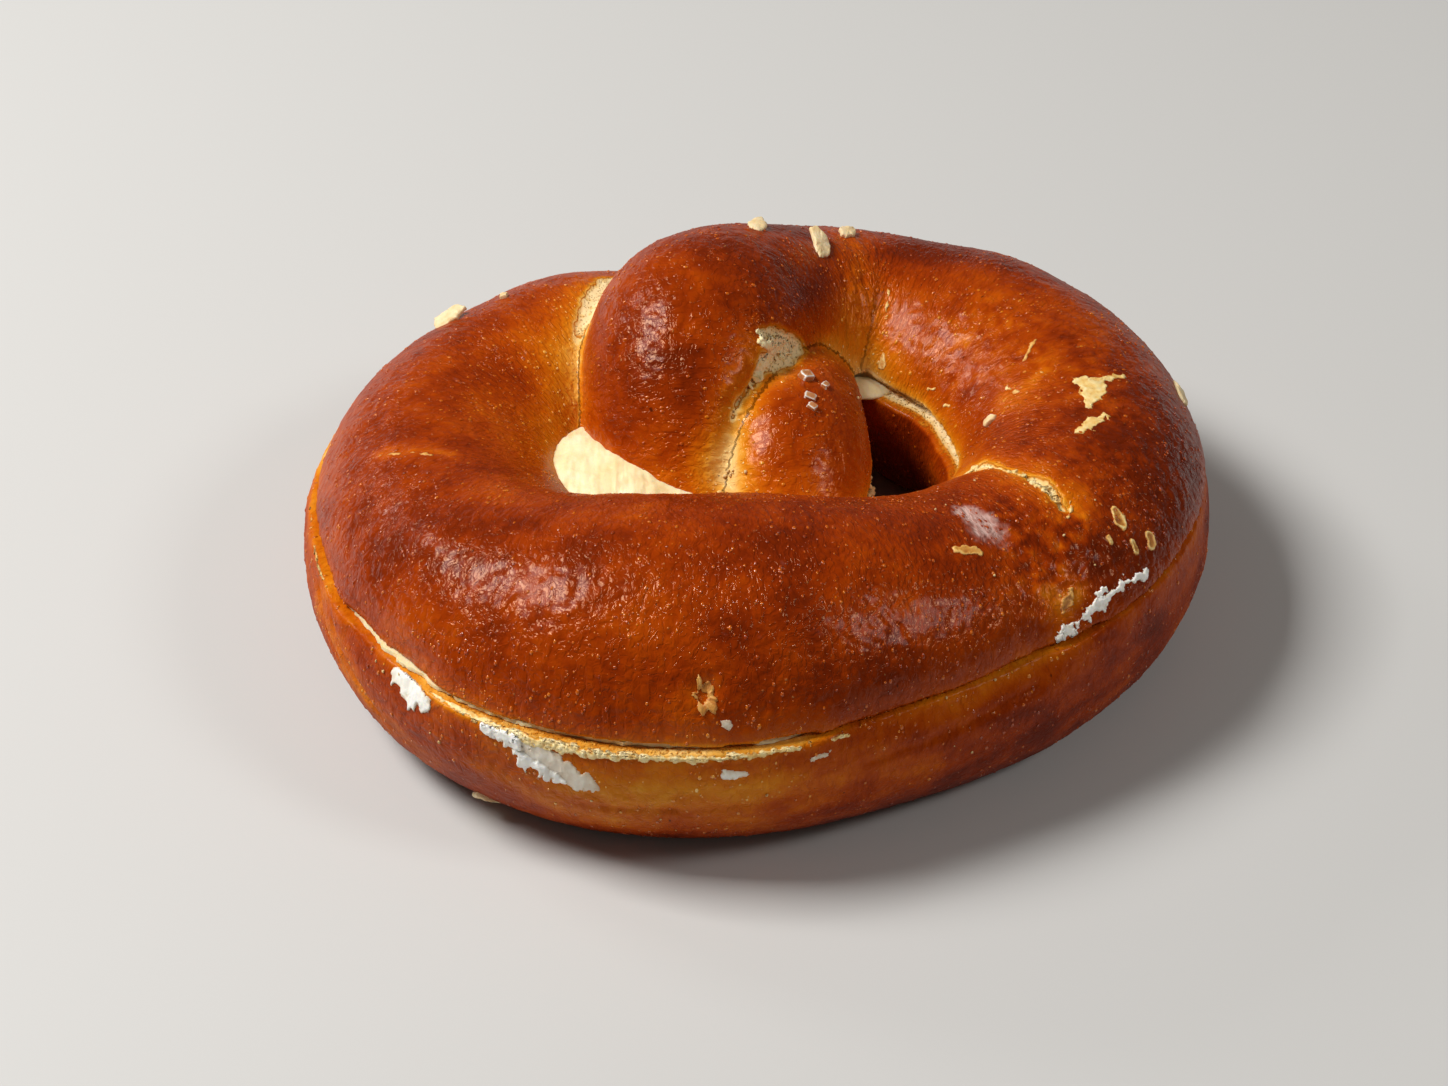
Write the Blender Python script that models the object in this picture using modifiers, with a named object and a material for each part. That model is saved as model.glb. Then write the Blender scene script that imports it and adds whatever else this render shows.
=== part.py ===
"""A butter pretzel, cut level and filled: bread top, butter layer and bread bottom.

The dough is one rope. It runs round an egg-shaped ring, thick at the belly in front, and its two arms
cross at the back: the right arm lies over the left one, and both come forward and down into the belly.
Metres, +Z up, the belly at -Y, the origin under the middle of the object.
"""

import math

import bpy
import numpy as np
from mathutils import Euler, Matrix, Vector

MM = 0.001

# The ring of the rope, seen from above: a turned, slightly squared ellipse
RING_CENTRE = (-0.3 * MM, 3.4 * MM)
RING_HALF_LENGTH = 47.6 * MM
RING_HALF_WIDTH = 37.3 * MM
RING_TURN = math.radians(15.7)
RING_SQUARENESS = 0.89
# From the right arm, past the belly, to the left arm
RING_FROM = math.radians(40)
RING_TO = math.radians(-238)
RING_STATIONS = 15

# The rope's thickness, as radii, and how far it settles on the tray
LOOP_RADIUS = 18.0 * MM
BELLY_RADIUS = 23.2 * MM
BELLY_SIDE = math.radians(-103)
BELLY_REACH = 5.7
RIGHT_SWELL = 1.2 * MM
RIGHT_SIDE = math.radians(0)
RIGHT_REACH = 3.0
SETTLE = 0.81

# The arms after they leave the ring: x, y, height and radius of each station, in millimetres
OVER_ARM = [
    (15.5, 42.4, 18.5, 15.6),
    (4.0, 37.9, 22.6, 15.3),
    (-4.5, 30.9, 27.0, 15.9),
    (-9.0, 22.9, 29.4, 16.7),
    (-10.0, 13.9, 26.0, 15.8),
    (-9.0, 5.4, 18.0, 13.8),
    (-7.5, -0.6, 10.0, 12.5),
]
UNDER_ARM = [
    (-25.0, 33.7, 14.5, 17.5),
    (-13.0, 36.9, 13.5, 15.5),
    (-3.0, 32.9, 14.5, 14.0),
    (1.6, 23.4, 17.8, 12.5),
    (2.6, 12.6, 22.9, 12.3),
    (3.7, 3.0, 22.3, 12.2),
    (4.6, -6.6, 15.0, 11.5),
]
STEPS_PER_SPAN = 8
END_STEPS = 6

# Fusing the crossing in the oven
VOXEL = 1.2 * MM
SMOOTHING = 5
SHRINKAGE = 0.35 * MM  # what the smoothing takes off, added to the rope beforehand
DOUGH_TRIANGLES = 7600
BUTTER_TRIANGLES = 3000
FLAT_WITHIN = 0.15 * MM

# Torn crust, dents and swellings: points along it, reach and depth in millimetres (a swelling is negative)
PRESSED = [
    ([(6.8, 17.1, 34.8), (4.1, 12.2, 35.8)], 3.0, 1.1),
    ([(4.1, 12.2, 35.8), (-0.4, 6.2, 36.4), (-4.0, 1.7, 34.6), (-5.6, -4.1, 26.8)], 1.7, 1.0),
    ([(28.7, -6.7, 29.3), (34.4, -9.4, 33.1), (42.2, -19.5, 33.6)], 2.2, 0.9),
    ([(36.0, -30.1, 32.0)], 8.0, 1.2),
    ([(14.0, -55.6, 25.0), (27.0, -50.1, 24.5), (39.0, -41.1, 24.5)], 4.0, 1.5),
    ([(-7.9, -54.7, 31.6)], 1.6, 1.2),
    ([(-45.5, -28.6, 35.4)], 4.0, -0.8),
    ([(-57.0, -33.1, 23.5), (-49.0, -43.1, 24.0)], 4.0, 1.0),
    ([(22.0, 21.9, 21.0), (27.0, 11.9, 21.0)], 8.0, -1.4),
    ([(-30.5, -7.1, 23.0), (-30.5, 6.9, 23.0)], 8.0, -1.6),
]

# The level cut through the dough: its height at the pivot, and its slopes about X and Y
CUT_PIVOT = Vector((-5.0, -0.1, 22.3)) * MM
CUT_SLOPES = Euler((math.radians(-1.8), math.radians(-0.6), 0))
TOP_SLIP = Vector((0.6, 0.9, 0)) * MM
BUTTER_THICKNESS = 0.8 * MM
CLEARANCE = 0.3 * MM
CUTTER_SIZE = 300 * MM

# Butter stands back from the crust, and swells into the holes: centre and half sizes in millimetres
BUTTER_INSET = 1.5 * MM
BUTTER_SWELLS = [
    ((-19.5, -0.6, 22.8), (13.5, 15.0, 4.0)),
    ((16.2, 25.2, 21.1), (4.6, 2.8, 0.9)),
]

# Flakes and salt baked on: a point just outside the crust, length, width, turn, and lean to the front
FLAKES_ON_TOP = [
    ((-46.8, 31.2, 30.4), 5.6, 4.2, 40, 30),
    ((0.2, 39.6, 42.4), 5.2, 3.0, 0, 16),
    ((9.9, 38.8, 38.8), 6.8, 3.0, 74, 25),
    ((14.2, 46.3, 36.0), 3.7, 2.6, 10, 20),
    ((63.4, 17.2, 26.4), 6.0, 2.3, 90, 0),
    ((-38.6, 34.8, 32.0), 1.9, 1.5, 0, 15),
    ((33.0, 6.1, 30.4), 2.3, 1.8, 20, 0),
    ((7.1, 9.0, 35.8), 1.9, 1.7, 10, 0),
    ((9.9, 8.0, 35.0), 1.5, 1.2, 50, 0),
    ((7.7, 3.9, 35.4), 1.7, 1.4, 0, 0),
]
FLAKES_BELOW = [((-38.5, -46.6, 3.0), 5.6, 2.4, 20, 0)]
FLAKE_THICKNESS = 1.0 * MM
FLAKE_SINKS = 0.35
FLAKE_LIFT = 0.25  # of a leaning flake's width
FLAKE_SIDES = 8
FLAKE_RAGGED = 0.16
SEED = 4

# Materials: colour, roughness
CRUST = ((0.27, 0.075, 0.016), 0.32)
BUTTER = ((0.86, 0.70, 0.40), 0.45)


def clear_scene():
    for obj in list(bpy.data.objects):
        bpy.data.objects.remove(obj, do_unlink=True)


def new_collection(name):
    collection = bpy.data.collections.new(name)
    bpy.context.scene.collection.children.link(collection)
    return collection


def material(name, colour, roughness):
    made = bpy.data.materials.new(name)
    made.use_nodes = True
    shader = made.node_tree.nodes["Principled BSDF"]
    shader.inputs["Base Color"].default_value = (*colour, 1)
    shader.inputs["Roughness"].default_value = roughness
    shader.inputs["Metallic"].default_value = 0
    return made


def ring_station(turn):
    """Centre and radius of the rope at an angle of the turned, slightly squared ellipse."""
    along = math.copysign(abs(math.cos(turn)) ** RING_SQUARENESS, math.cos(turn)) * RING_HALF_LENGTH
    across = math.copysign(abs(math.sin(turn)) ** RING_SQUARENESS, math.sin(turn)) * RING_HALF_WIDTH
    x = along * math.cos(RING_TURN) - across * math.sin(RING_TURN)
    y = along * math.sin(RING_TURN) + across * math.cos(RING_TURN)
    side = math.atan2(y, x)
    belly = ((1 + math.cos(side - BELLY_SIDE)) / 2) ** BELLY_REACH
    right = ((1 + math.cos(side - RIGHT_SIDE)) / 2) ** RIGHT_REACH
    radius = LOOP_RADIUS + (BELLY_RADIUS - LOOP_RADIUS) * belly + RIGHT_SWELL * right
    return (RING_CENTRE[0] + x, RING_CENTRE[1] + y, SETTLE * radius, radius)


def rope_stations():
    """The whole rope from the end of the over arm, round the ring, to the end of the under arm."""
    over = [tuple(v * MM for v in station) for station in reversed(OVER_ARM)]
    under = [tuple(v * MM for v in station) for station in UNDER_ARM]
    ring = [ring_station(turn) for turn in np.linspace(RING_FROM, RING_TO, RING_STATIONS)]
    return np.array(over + ring + under)


def smooth_path(stations):
    """A Catmull-Rom curve through the stations, with the radius carried along as a fourth coordinate."""
    padded = np.vstack([2 * stations[0] - stations[1], stations, 2 * stations[-1] - stations[-2]])
    t = np.linspace(0, 1, STEPS_PER_SPAN, endpoint=False)[:, None]
    spans = []
    for a, b, c, d in zip(padded, padded[1:], padded[2:], padded[3:]):
        spans.append(0.5 * (2 * b + (c - a) * t + (2 * a - 5 * b + 4 * c - d) * t**2
                            + (3 * b - a - 3 * c + d) * t**3))
    return np.vstack([*spans, stations[-1:]])


def rounded_ends(path):
    """Adds a round nose at both ends, where the radius falls to nothing along a quarter circle."""
    def nose(end, before):
        heading = (end[:3] - before[:3]) / np.linalg.norm(end[:3] - before[:3])
        angles = np.linspace(0, math.pi / 2, END_STEPS + 1)[1:]
        radii = np.maximum(end[3] * np.cos(angles), 0.02 * end[3])
        centres = end[:3] + np.outer(end[3] * np.sin(angles), heading)
        return np.column_stack([centres, radii])

    return np.vstack([nose(path[0], path[1])[::-1], path, nose(path[-1], path[-2])])


def mesh_object(name, mesh, collection):
    obj = bpy.data.objects.new(name, mesh)
    collection.objects.link(obj)
    return obj


def evaluated_mesh(obj):
    """A copy of the object's mesh with its modifiers applied."""
    graph = bpy.context.evaluated_depsgraph_get()
    return bpy.data.meshes.new_from_object(obj.evaluated_get(graph))


def bake(obj):
    """Applies all of the object's modifiers."""
    mesh = evaluated_mesh(obj)
    obj.modifiers.clear()
    obj.data = mesh
    return obj


def rope_curve(name, grown, collection):
    """The rope as a bevelled curve whose points carry the rope's radius, plus what it has grown."""
    path = rounded_ends(smooth_path(rope_stations()))
    data = bpy.data.curves.new(name, "CURVE")
    data.dimensions = "3D"
    data.bevel_depth = 1.0
    data.bevel_resolution = 6
    data.use_fill_caps = True
    spline = data.splines.new("POLY")
    spline.points.add(len(path) - 1)
    for point, (x, y, z, radius) in zip(spline.points, path):
        point.co = (x, y, z, 1)
        point.radius = max(radius + grown + SHRINKAGE, 0.1 * MM)
    obj = bpy.data.objects.new(name, data)
    collection.objects.link(obj)
    return obj


def points_of(mesh, name="co"):
    """The mesh's points, or another vertex property with three numbers, as an array."""
    values = np.empty(len(mesh.vertices) * 3, np.float32)
    mesh.vertices.foreach_get(name, values)
    return values.reshape(-1, 3).astype(float)


def distance_to_line(points, line):
    """Distance from each point to a chain of straight spans, or to one point."""
    line = np.array(line) * MM
    best = np.linalg.norm(points - line[0], axis=1)
    for start, end in zip(line, line[1:]):
        span = end - start
        part = np.clip((points - start) @ span / (span @ span), 0, 1)
        best = np.minimum(best, np.linalg.norm(points - start - part[:, None] * span, axis=1))
    return best


def press(obj):
    """Sinks the crust along each line of PRESSED by a bell curve of the distance to it."""
    points = points_of(obj.data)
    normals = points_of(obj.data, "normal")
    sunk = np.zeros(len(points))
    for line, reach, depth in PRESSED:
        sunk += depth * MM * np.exp(-((distance_to_line(points, line) / (reach * MM)) ** 2))
    obj.data.vertices.foreach_set("co", (points - normals * sunk[:, None]).ravel())
    obj.data.update()


def settle(obj):
    """Flattens what lies under the tray's surface onto it."""
    points = points_of(obj.data)
    points[points[:, 2] < FLAT_WITHIN, 2] = 0
    obj.data.vertices.foreach_set("co", points.ravel())
    obj.data.update()


def dough(name, collection, grown=0.0, triangles=DOUGH_TRIANGLES):
    """The baked dough: the rope fused where it crosses itself, smoothed, and flat on the tray."""
    curve = rope_curve(name + "_rope", grown, collection)
    obj = mesh_object(name, evaluated_mesh(curve), collection)
    bpy.data.objects.remove(curve, do_unlink=True)

    fuse = obj.modifiers.new("fuse", "REMESH")
    fuse.mode = "VOXEL"
    fuse.voxel_size = VOXEL
    smooth = obj.modifiers.new("smooth", "SMOOTH")
    smooth.iterations = SMOOTHING
    bake(obj)
    press(obj)
    settle(obj)

    thin = obj.modifiers.new("thin", "DECIMATE")
    thin.ratio = triangles / (2 * len(obj.data.polygons))
    bake(obj)
    settle(obj)
    return obj


def cut_slab(name, collection, bottom=None, top=None):
    """A large box between two heights over the cut, or on one side of one, turned with the cut."""
    low = bottom if bottom is not None else top - CUTTER_SIZE
    high = top if top is not None else bottom + CUTTER_SIZE
    bpy.ops.mesh.primitive_cube_add(size=1)
    box = bpy.context.object
    box.name = name
    for old in box.users_collection:
        old.objects.unlink(box)
    collection.objects.link(box)
    offset = Vector((0, 0, (low + high) / 2))
    offset.rotate(CUT_SLOPES)
    size = (CUTTER_SIZE, CUTTER_SIZE, high - low)
    box.matrix_world = Matrix.LocRotScale(CUT_PIVOT + offset, CUT_SLOPES, size)
    box.hide_render = True
    box.display_type = "WIRE"
    bpy.context.view_layer.update()
    return box


def boolean(obj, operation, other):
    """Applies one Boolean with another object, or with a whole collection."""
    cut = obj.modifiers.new(operation.lower(), "BOOLEAN")
    cut.operation = operation
    cut.solver = "MANIFOLD"
    if isinstance(other, bpy.types.Collection):
        cut.operand_type = "COLLECTION"
        cut.collection = other
    else:
        cut.object = other
    return bake(obj)


def remove_with_objects(collection):
    for obj in list(collection.objects):
        bpy.data.objects.remove(obj, do_unlink=True)
    bpy.data.collections.remove(collection)


def flake(spot, length, width, turn, lean, crust, collection, rng):
    """A ragged plate that lies on the crust next to a point, a little sunk into it."""
    _, place, normal, _ = crust.closest_point_on_mesh(Vector(spot) * MM)
    bpy.ops.mesh.primitive_cylinder_add(vertices=FLAKE_SIDES, radius=0.5, depth=1)
    plate = bpy.context.object
    plate.name = "flake"
    for old in plate.users_collection:
        old.objects.unlink(plate)
    collection.objects.link(plate)
    points = points_of(plate.data)
    points[:, :2] *= 1 + rng.uniform(-FLAKE_RAGGED, FLAKE_RAGGED, (len(points), 1))
    plate.data.vertices.foreach_set("co", points.ravel())
    lying = normal.to_track_quat("Z", "X") @ Euler((0, 0, math.radians(turn))).to_quaternion()
    lying = Euler((math.radians(lean), 0, 0)).to_quaternion() @ lying
    lift = FLAKE_THICKNESS * (0.5 - FLAKE_SINKS) + FLAKE_LIFT * width * MM * math.sin(math.radians(lean))
    centre = place + normal * lift
    size = (length * MM, width * MM, FLAKE_THICKNESS)
    plate.matrix_world = Matrix.LocRotScale(centre, lying, size)
    return plate


def bake_flakes(crust, flakes, rng):
    """Joins the flakes to the crust by one union."""
    collection = new_collection("flakes")
    for spot, length, width, turn, lean in flakes:
        flake(spot, length, width, turn, lean, crust, collection, rng)
    bpy.context.view_layer.update()
    boolean(crust, "UNION", collection)
    remove_with_objects(collection)


def finish(obj, name, look, collection):
    """Names the piece, gives it its material, and shades it smooth with sharp cut edges."""
    for old in obj.users_collection:
        old.objects.unlink(obj)
    collection.objects.link(obj)
    obj.name = name
    obj.data.name = name
    obj.data.materials.clear()
    obj.data.materials.append(look)
    obj.data.shade_smooth()
    obj.data.set_sharp_from_angle(angle=math.radians(40))
    return obj


def halves(work):
    """The dough parted by the level cut, with room for the butter between the two."""
    gap = BUTTER_THICKNESS / 2 + CLEARANCE
    bottom = dough("dough", work)
    top = mesh_object("top", bottom.data.copy(), work)
    above = cut_slab("above", work, bottom=gap)
    below = cut_slab("below", work, top=-gap)
    boolean(top, "INTERSECT", above)
    boolean(bottom, "INTERSECT", below)
    top.data.transform(Matrix.Translation(TOP_SLIP))
    rng = np.random.default_rng(SEED)
    bake_flakes(top, FLAKES_ON_TOP, rng)
    bake_flakes(bottom, FLAKES_BELOW, rng)
    return top, bottom


def butter_layer(work):
    """A thin layer that follows the cut, with swells where the butter pushes into the holes."""
    layer = dough("layer", work, grown=-BUTTER_INSET, triangles=BUTTER_TRIANGLES)
    room = dough("room", work, grown=2 * CLEARANCE)
    slipped = mesh_object("slipped", room.data.copy(), work)
    slipped.data.transform(Matrix.Translation(TOP_SLIP))
    slab = cut_slab("slab", work, bottom=-BUTTER_THICKNESS / 2, top=BUTTER_THICKNESS / 2)
    swells = new_collection("swells")
    for centre, sizes in BUTTER_SWELLS:
        for cutters, operation in (((room, slipped), "DIFFERENCE"), ((slab,), "INTERSECT")):
            bpy.ops.mesh.primitive_uv_sphere_add(segments=32, ring_count=16, radius=1)
            swell = bpy.context.object
            for old in swell.users_collection:
                old.objects.unlink(swell)
            swells.objects.link(swell)
            swell.data.transform(Matrix.LocRotScale(Vector(centre) * MM, None, Vector(sizes) * MM))
            bpy.context.view_layer.update()
            for cutter in cutters:
                boolean(swell, operation, cutter)
    boolean(layer, "INTERSECT", slab)
    boolean(layer, "UNION", swells)
    remove_with_objects(swells)
    return layer


def main():
    clear_scene()
    pretzel = new_collection("butter_pretzel")
    work = new_collection("work")
    crust = material("crust", *CRUST)
    butter = material("butter", *BUTTER)
    top, bottom = halves(work)
    layer = butter_layer(work)
    finish(top, "bread_top", crust, pretzel)
    finish(bottom, "bread_bottom", crust, pretzel)
    finish(layer, "butter", butter, pretzel)
    remove_with_objects(work)


main()
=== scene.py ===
import itertools
import math

import bpy
import numpy as np
from mathutils import Euler, Matrix, Vector


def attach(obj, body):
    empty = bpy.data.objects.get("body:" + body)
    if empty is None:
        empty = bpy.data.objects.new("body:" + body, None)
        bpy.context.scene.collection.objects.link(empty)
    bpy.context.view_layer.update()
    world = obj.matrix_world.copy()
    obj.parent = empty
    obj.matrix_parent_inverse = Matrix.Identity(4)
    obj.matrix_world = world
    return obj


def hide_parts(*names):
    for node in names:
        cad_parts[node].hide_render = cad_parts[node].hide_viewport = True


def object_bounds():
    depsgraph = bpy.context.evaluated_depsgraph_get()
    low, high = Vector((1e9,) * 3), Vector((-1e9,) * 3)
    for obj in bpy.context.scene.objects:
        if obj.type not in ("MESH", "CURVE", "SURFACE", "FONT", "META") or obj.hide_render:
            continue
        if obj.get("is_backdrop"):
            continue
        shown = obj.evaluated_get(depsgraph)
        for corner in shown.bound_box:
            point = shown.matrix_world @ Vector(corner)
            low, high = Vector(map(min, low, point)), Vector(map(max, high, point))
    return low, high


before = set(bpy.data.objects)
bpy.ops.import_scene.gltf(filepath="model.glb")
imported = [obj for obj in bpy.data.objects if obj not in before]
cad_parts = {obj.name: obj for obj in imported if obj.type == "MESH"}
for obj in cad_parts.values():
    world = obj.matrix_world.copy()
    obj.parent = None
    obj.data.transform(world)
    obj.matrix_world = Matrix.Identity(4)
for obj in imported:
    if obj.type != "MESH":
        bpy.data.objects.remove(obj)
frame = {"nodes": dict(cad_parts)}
cadLow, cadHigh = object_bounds()
print("frame loaded:", ", ".join(frame["nodes"]))

mm = 0.001  # shapes are worked out in millimetres and stored in metres


# Numpy noise

# A scrambled whole number for each lattice cell and seed
def hashOf(cells, seed):
    factors = (374761393, 668265263, 1103515245)
    mixed = sum(cells[..., k] * factor for k, factor in enumerate(factors)) + seed * 974634777
    mixed = ((mixed & 0xFFFFFFFF) ^ ((mixed & 0xFFFFFFFF) >> 13)) * 1274126177 & 0xFFFFFFFF
    return mixed ^ (mixed >> 16)


# Gradient noise, about -1 to 1: every lattice corner has a random slope, and the fade t^3 (6 t^2 - 15 t + 10)
# blends the eight corners round a point
def slopeNoise(points, seed=0):
    cells = np.floor(points).astype(np.int64)
    inside = points - cells
    fade = inside**3 * (inside * (inside * 6 - 15) + 10)
    total = np.zeros(len(points))
    for corner in itertools.product((0, 1), repeat=3):
        mixed = hashOf(cells + np.array(corner), seed)
        turn = (mixed & 0xFFFF) * (2 * math.pi / 65536)
        height = ((mixed >> 16) & 0xFFFF) / 32768 - 1
        flat = np.sqrt(np.maximum(1 - height**2, 0))
        away = inside - corner
        slope = flat * (np.cos(turn) * away[:, 0] + np.sin(turn) * away[:, 1]) + height * away[:, 2]
        total += slope * np.where(np.array(corner), fade, 1 - fade).prod(axis=1)
    return 1.6 * total


# Several octaves of it, each twice as fine and half as strong
def layeredNoise(points, octaves=3, seed=0):
    return sum(slopeNoise(points * 2**k + 7.3 * k, seed + k) / 2**k for k in range(octaves))


# Distance to the nearest of points scattered one in each unit cell
def cellNoise(points, seed=0):
    cells = np.floor(points).astype(np.int64)
    best = np.full(len(points), 9.0)
    for step in itertools.product((-1, 0, 1), repeat=3):
        cell = cells + np.array(step)
        mixed = hashOf(cell, seed)
        spot = cell + np.stack([mixed & 1023, (mixed >> 10) & 1023, (mixed >> 20) & 1023], axis=1) / 1023
        best = np.minimum(best, ((points - spot) ** 2).sum(axis=1))
    return np.sqrt(best)


# 0 below low, 1 above high, and a smooth cubic between
def smoothStep(values, low, high):
    part = np.clip((values - low) / (high - low), 0, 1)
    return part * part * (3 - 2 * part)


# Vectors divided by their lengths
def unit(vectors):
    return vectors / np.maximum(np.linalg.norm(vectors, axis=-1, keepdims=True), 1e-9)


# Meshes

# Quads of a grid of rows by columns, whose columns or rows may close on themselves
def gridFaces(rows, columns, closeColumns=False, closeRows=False, first=0):
    i, j = np.meshgrid(np.arange(rows - 1 + closeRows), np.arange(columns - 1 + closeColumns), indexing="ij")
    i, j = i.ravel(), j.ravel()
    nextI, nextJ = (i + 1) % rows, (j + 1) % columns
    corners = [i * columns + j, nextI * columns + j, nextI * columns + nextJ, i * columns + nextJ]
    return np.stack(corners, axis=1) + first


# An object whose points are given in millimetres
def newPiece(name, points, faces):
    mesh = bpy.data.meshes.new(name)
    mesh.from_pydata((np.asarray(points) * mm).tolist(), [], [list(face) for face in faces])
    mesh.update()
    piece = bpy.data.objects.new(name, mesh)
    bpy.context.scene.collection.objects.link(piece)
    return piece


# A piece's points in millimetres, or its normals
def pointsOf(piece, name="co"):
    values = np.empty(len(piece.data.vertices) * 3, np.float32)
    piece.data.vertices.foreach_get(name, values)
    return values.reshape(-1, 3).astype(float) * (1 / mm if name == "co" else 1)


def setPoints(piece, points):
    piece.data.vertices.foreach_set("co", (points * mm).astype(np.float32).ravel())
    piece.data.update()


# One number, or one vector, for each point
def setAttribute(piece, name, values):
    kind, field = ("FLOAT_VECTOR", "vector") if values.ndim == 2 else ("FLOAT", "value")
    attribute = piece.data.attributes.new(name, kind, "POINT")
    attribute.data.foreach_set(field, values.astype(np.float32).ravel())


# The numbers that a piece's points carry
def numbersOf(piece, name):
    values = np.empty(len(piece.data.vertices), np.float32)
    piece.data.attributes[name].data.foreach_get("value", values)
    return values


# Makes what the modifiers show the piece's own mesh
def applyModifiers(piece):
    graph = bpy.context.evaluated_depsgraph_get()
    old = piece.data
    mesh = bpy.data.meshes.new_from_object(piece.evaluated_get(graph))
    piece.modifiers.clear()
    piece.data = mesh
    bpy.data.meshes.remove(old)
    return piece


def remove(piece):
    bpy.data.objects.remove(piece, do_unlink=True)


# Makes one skin of shapes that overlap, and rounds it
def fuse(piece, voxel, smoothing):
    remesh = piece.modifiers.new("fuse", "REMESH")
    remesh.mode = "VOXEL"
    remesh.voxel_size = voxel * mm
    smooth = piece.modifiers.new("smooth", "SMOOTH")
    smooth.iterations = smoothing
    return applyModifiers(piece)


# Adds another closed piece to this one, cuts it off, or keeps what both share
def combine(piece, operation, other):
    boolean = piece.modifiers.new("boolean", "BOOLEAN")
    boolean.operation = operation
    boolean.solver = "MANIFOLD"
    boolean.object = other
    return applyModifiers(piece)


# Smooth shading, but sharp where faces meet at more than an angle, and a word on how large the mesh is
def finish(piece, sharpAngle=None):
    piece.data.shade_smooth()
    if sharpAngle:
        piece.data.set_sharp_from_angle(angle=math.radians(sharpAngle))
    piece.data.calc_loop_triangles()
    print(f"{piece.name}: {len(piece.data.loop_triangles)} triangles")
    return piece


# The rope of dough

rope = {
    # the ring is a turned ellipse, slightly squared; its stations run from one angle to the other
    "ringCentre": (-0.3, 3.4),
    "ringHalfLength": 47.6,
    "ringHalfWidth": 37.3,
    "ringTurn": 15.7,
    "ringSquareness": 0.89,
    "ringFrom": 40,
    "ringTo": -238,
    "ringStations": 15,
    "loopRadius": 18,  # of the dough, which swells to bellyRadius in front and by rightSwell on the right
    "bellyRadius": 23.2,
    "bellySide": -103,
    "bellyReach": 5.7,
    "rightSwell": 1.2,
    "rightSide": 0,
    "rightReach": 3,
    "settle": 0.81,  # height of the rope's middle over its radius
    # the arms after they leave the ring: x, y, height and radius
    "overArm": [(15.5, 42.4, 18.5, 15.6), (4, 37.9, 22.6, 15.3), (-4.5, 30.9, 27, 15.9),
                (-9, 22.9, 29.4, 16.7), (-10, 13.9, 26, 15.8), (-9, 5.4, 18, 13.8),
                (-7.5, -0.6, 10, 12.5)],
    "underArm": [(-25, 33.7, 14.5, 17.5), (-13, 36.9, 13.5, 15.5), (-3, 32.9, 14.5, 14),
                 (1.6, 23.4, 17.8, 12.5), (2.6, 12.6, 22.9, 12.3), (3.7, 3, 22.3, 12.2),
                 (4.6, -6.6, 15, 11.5)],
    "stepsPerSpan": 24,
    "endSteps": 10,
    "around": 80,
}


# The rope's stations, from the end of the over arm round a turned, slightly squared ellipse to the under arm
def ropeStations():
    turn = np.radians(np.linspace(rope["ringFrom"], rope["ringTo"], rope["ringStations"]))
    bulge = lambda wave: np.sign(wave) * np.abs(wave) ** rope["ringSquareness"]
    along, across = bulge(np.cos(turn)) * rope["ringHalfLength"], bulge(np.sin(turn)) * rope["ringHalfWidth"]
    lean = math.radians(rope["ringTurn"])
    x = along * math.cos(lean) - across * math.sin(lean)
    y = along * math.sin(lean) + across * math.cos(lean)
    towards = lambda side, reach: ((1 + np.cos(np.arctan2(y, x) - math.radians(side))) / 2) ** reach
    radius = rope["loopRadius"] + rope["rightSwell"] * towards(rope["rightSide"], rope["rightReach"])
    radius += (rope["bellyRadius"] - rope["loopRadius"]) * towards(rope["bellySide"], rope["bellyReach"])
    centreX, centreY = rope["ringCentre"]
    ring = np.column_stack([centreX + x, centreY + y, rope["settle"] * radius, radius])
    return np.vstack([rope["overArm"][::-1], ring, rope["underArm"]])


# A Catmull-Rom curve through the stations, whose radius falls along a quarter circle at both ends
def ropePath():
    stations = ropeStations()
    padded = np.vstack([2 * stations[0] - stations[1], stations, 2 * stations[-1] - stations[-2]])
    t = np.linspace(0, 1, rope["stepsPerSpan"], endpoint=False)[None, :, None]
    a, b, c, d = (padded[k : len(padded) - 3 + k, None] for k in range(4))
    spans = 0.5 * (2 * b + (c - a) * t + (2 * a - 5 * b + 4 * c - d) * t**2 + (3 * b - a - 3 * c + d) * t**3)
    path = np.vstack([spans.reshape(-1, 4), stations[-1:]])

    def nose(end, before):
        angles = np.linspace(0, math.pi / 2, rope["endSteps"] + 1)[1:]
        centres = end[:3] + np.outer(end[3] * np.sin(angles), unit(end[:3] - before[:3]))
        return np.column_stack([centres, np.maximum(end[3] * np.cos(angles), 0.02 * end[3])])

    return np.vstack([nose(path[0], path[1])[::-1], path, nose(path[-1], path[-2])])


path = ropePath()
centres, radii = path[:, :3], path[:, 3]
tangents = unit(np.gradient(centres, axis=0))
sides = unit(np.cross(tangents, (0, 0, 1)))
ups = np.cross(sides, tangents)
runs = np.concatenate([[0], np.cumsum(np.linalg.norm(np.diff(centres, axis=0), axis=1))])


# A round profile carried along the rope: centre + radius x (side x cos + up x sin)
def ropeTube(name, grown):
    angles = np.linspace(0, 2 * math.pi, rope["around"], endpoint=False)[None, :, None]
    swollen = np.maximum(radii + grown, 0.1)[:, None, None]
    points = centres[:, None] + swollen * (sides[:, None] * np.cos(angles) + ups[:, None] * np.sin(angles))
    rows, columns = points.shape[:2]
    caps = [list(range(columns)), list(range(rows * columns - 1, (rows - 1) * columns - 1, -1))]
    return newPiece(name, points.reshape(-1, 3), gridFaces(rows, columns, closeColumns=True).tolist() + caps)


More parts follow.
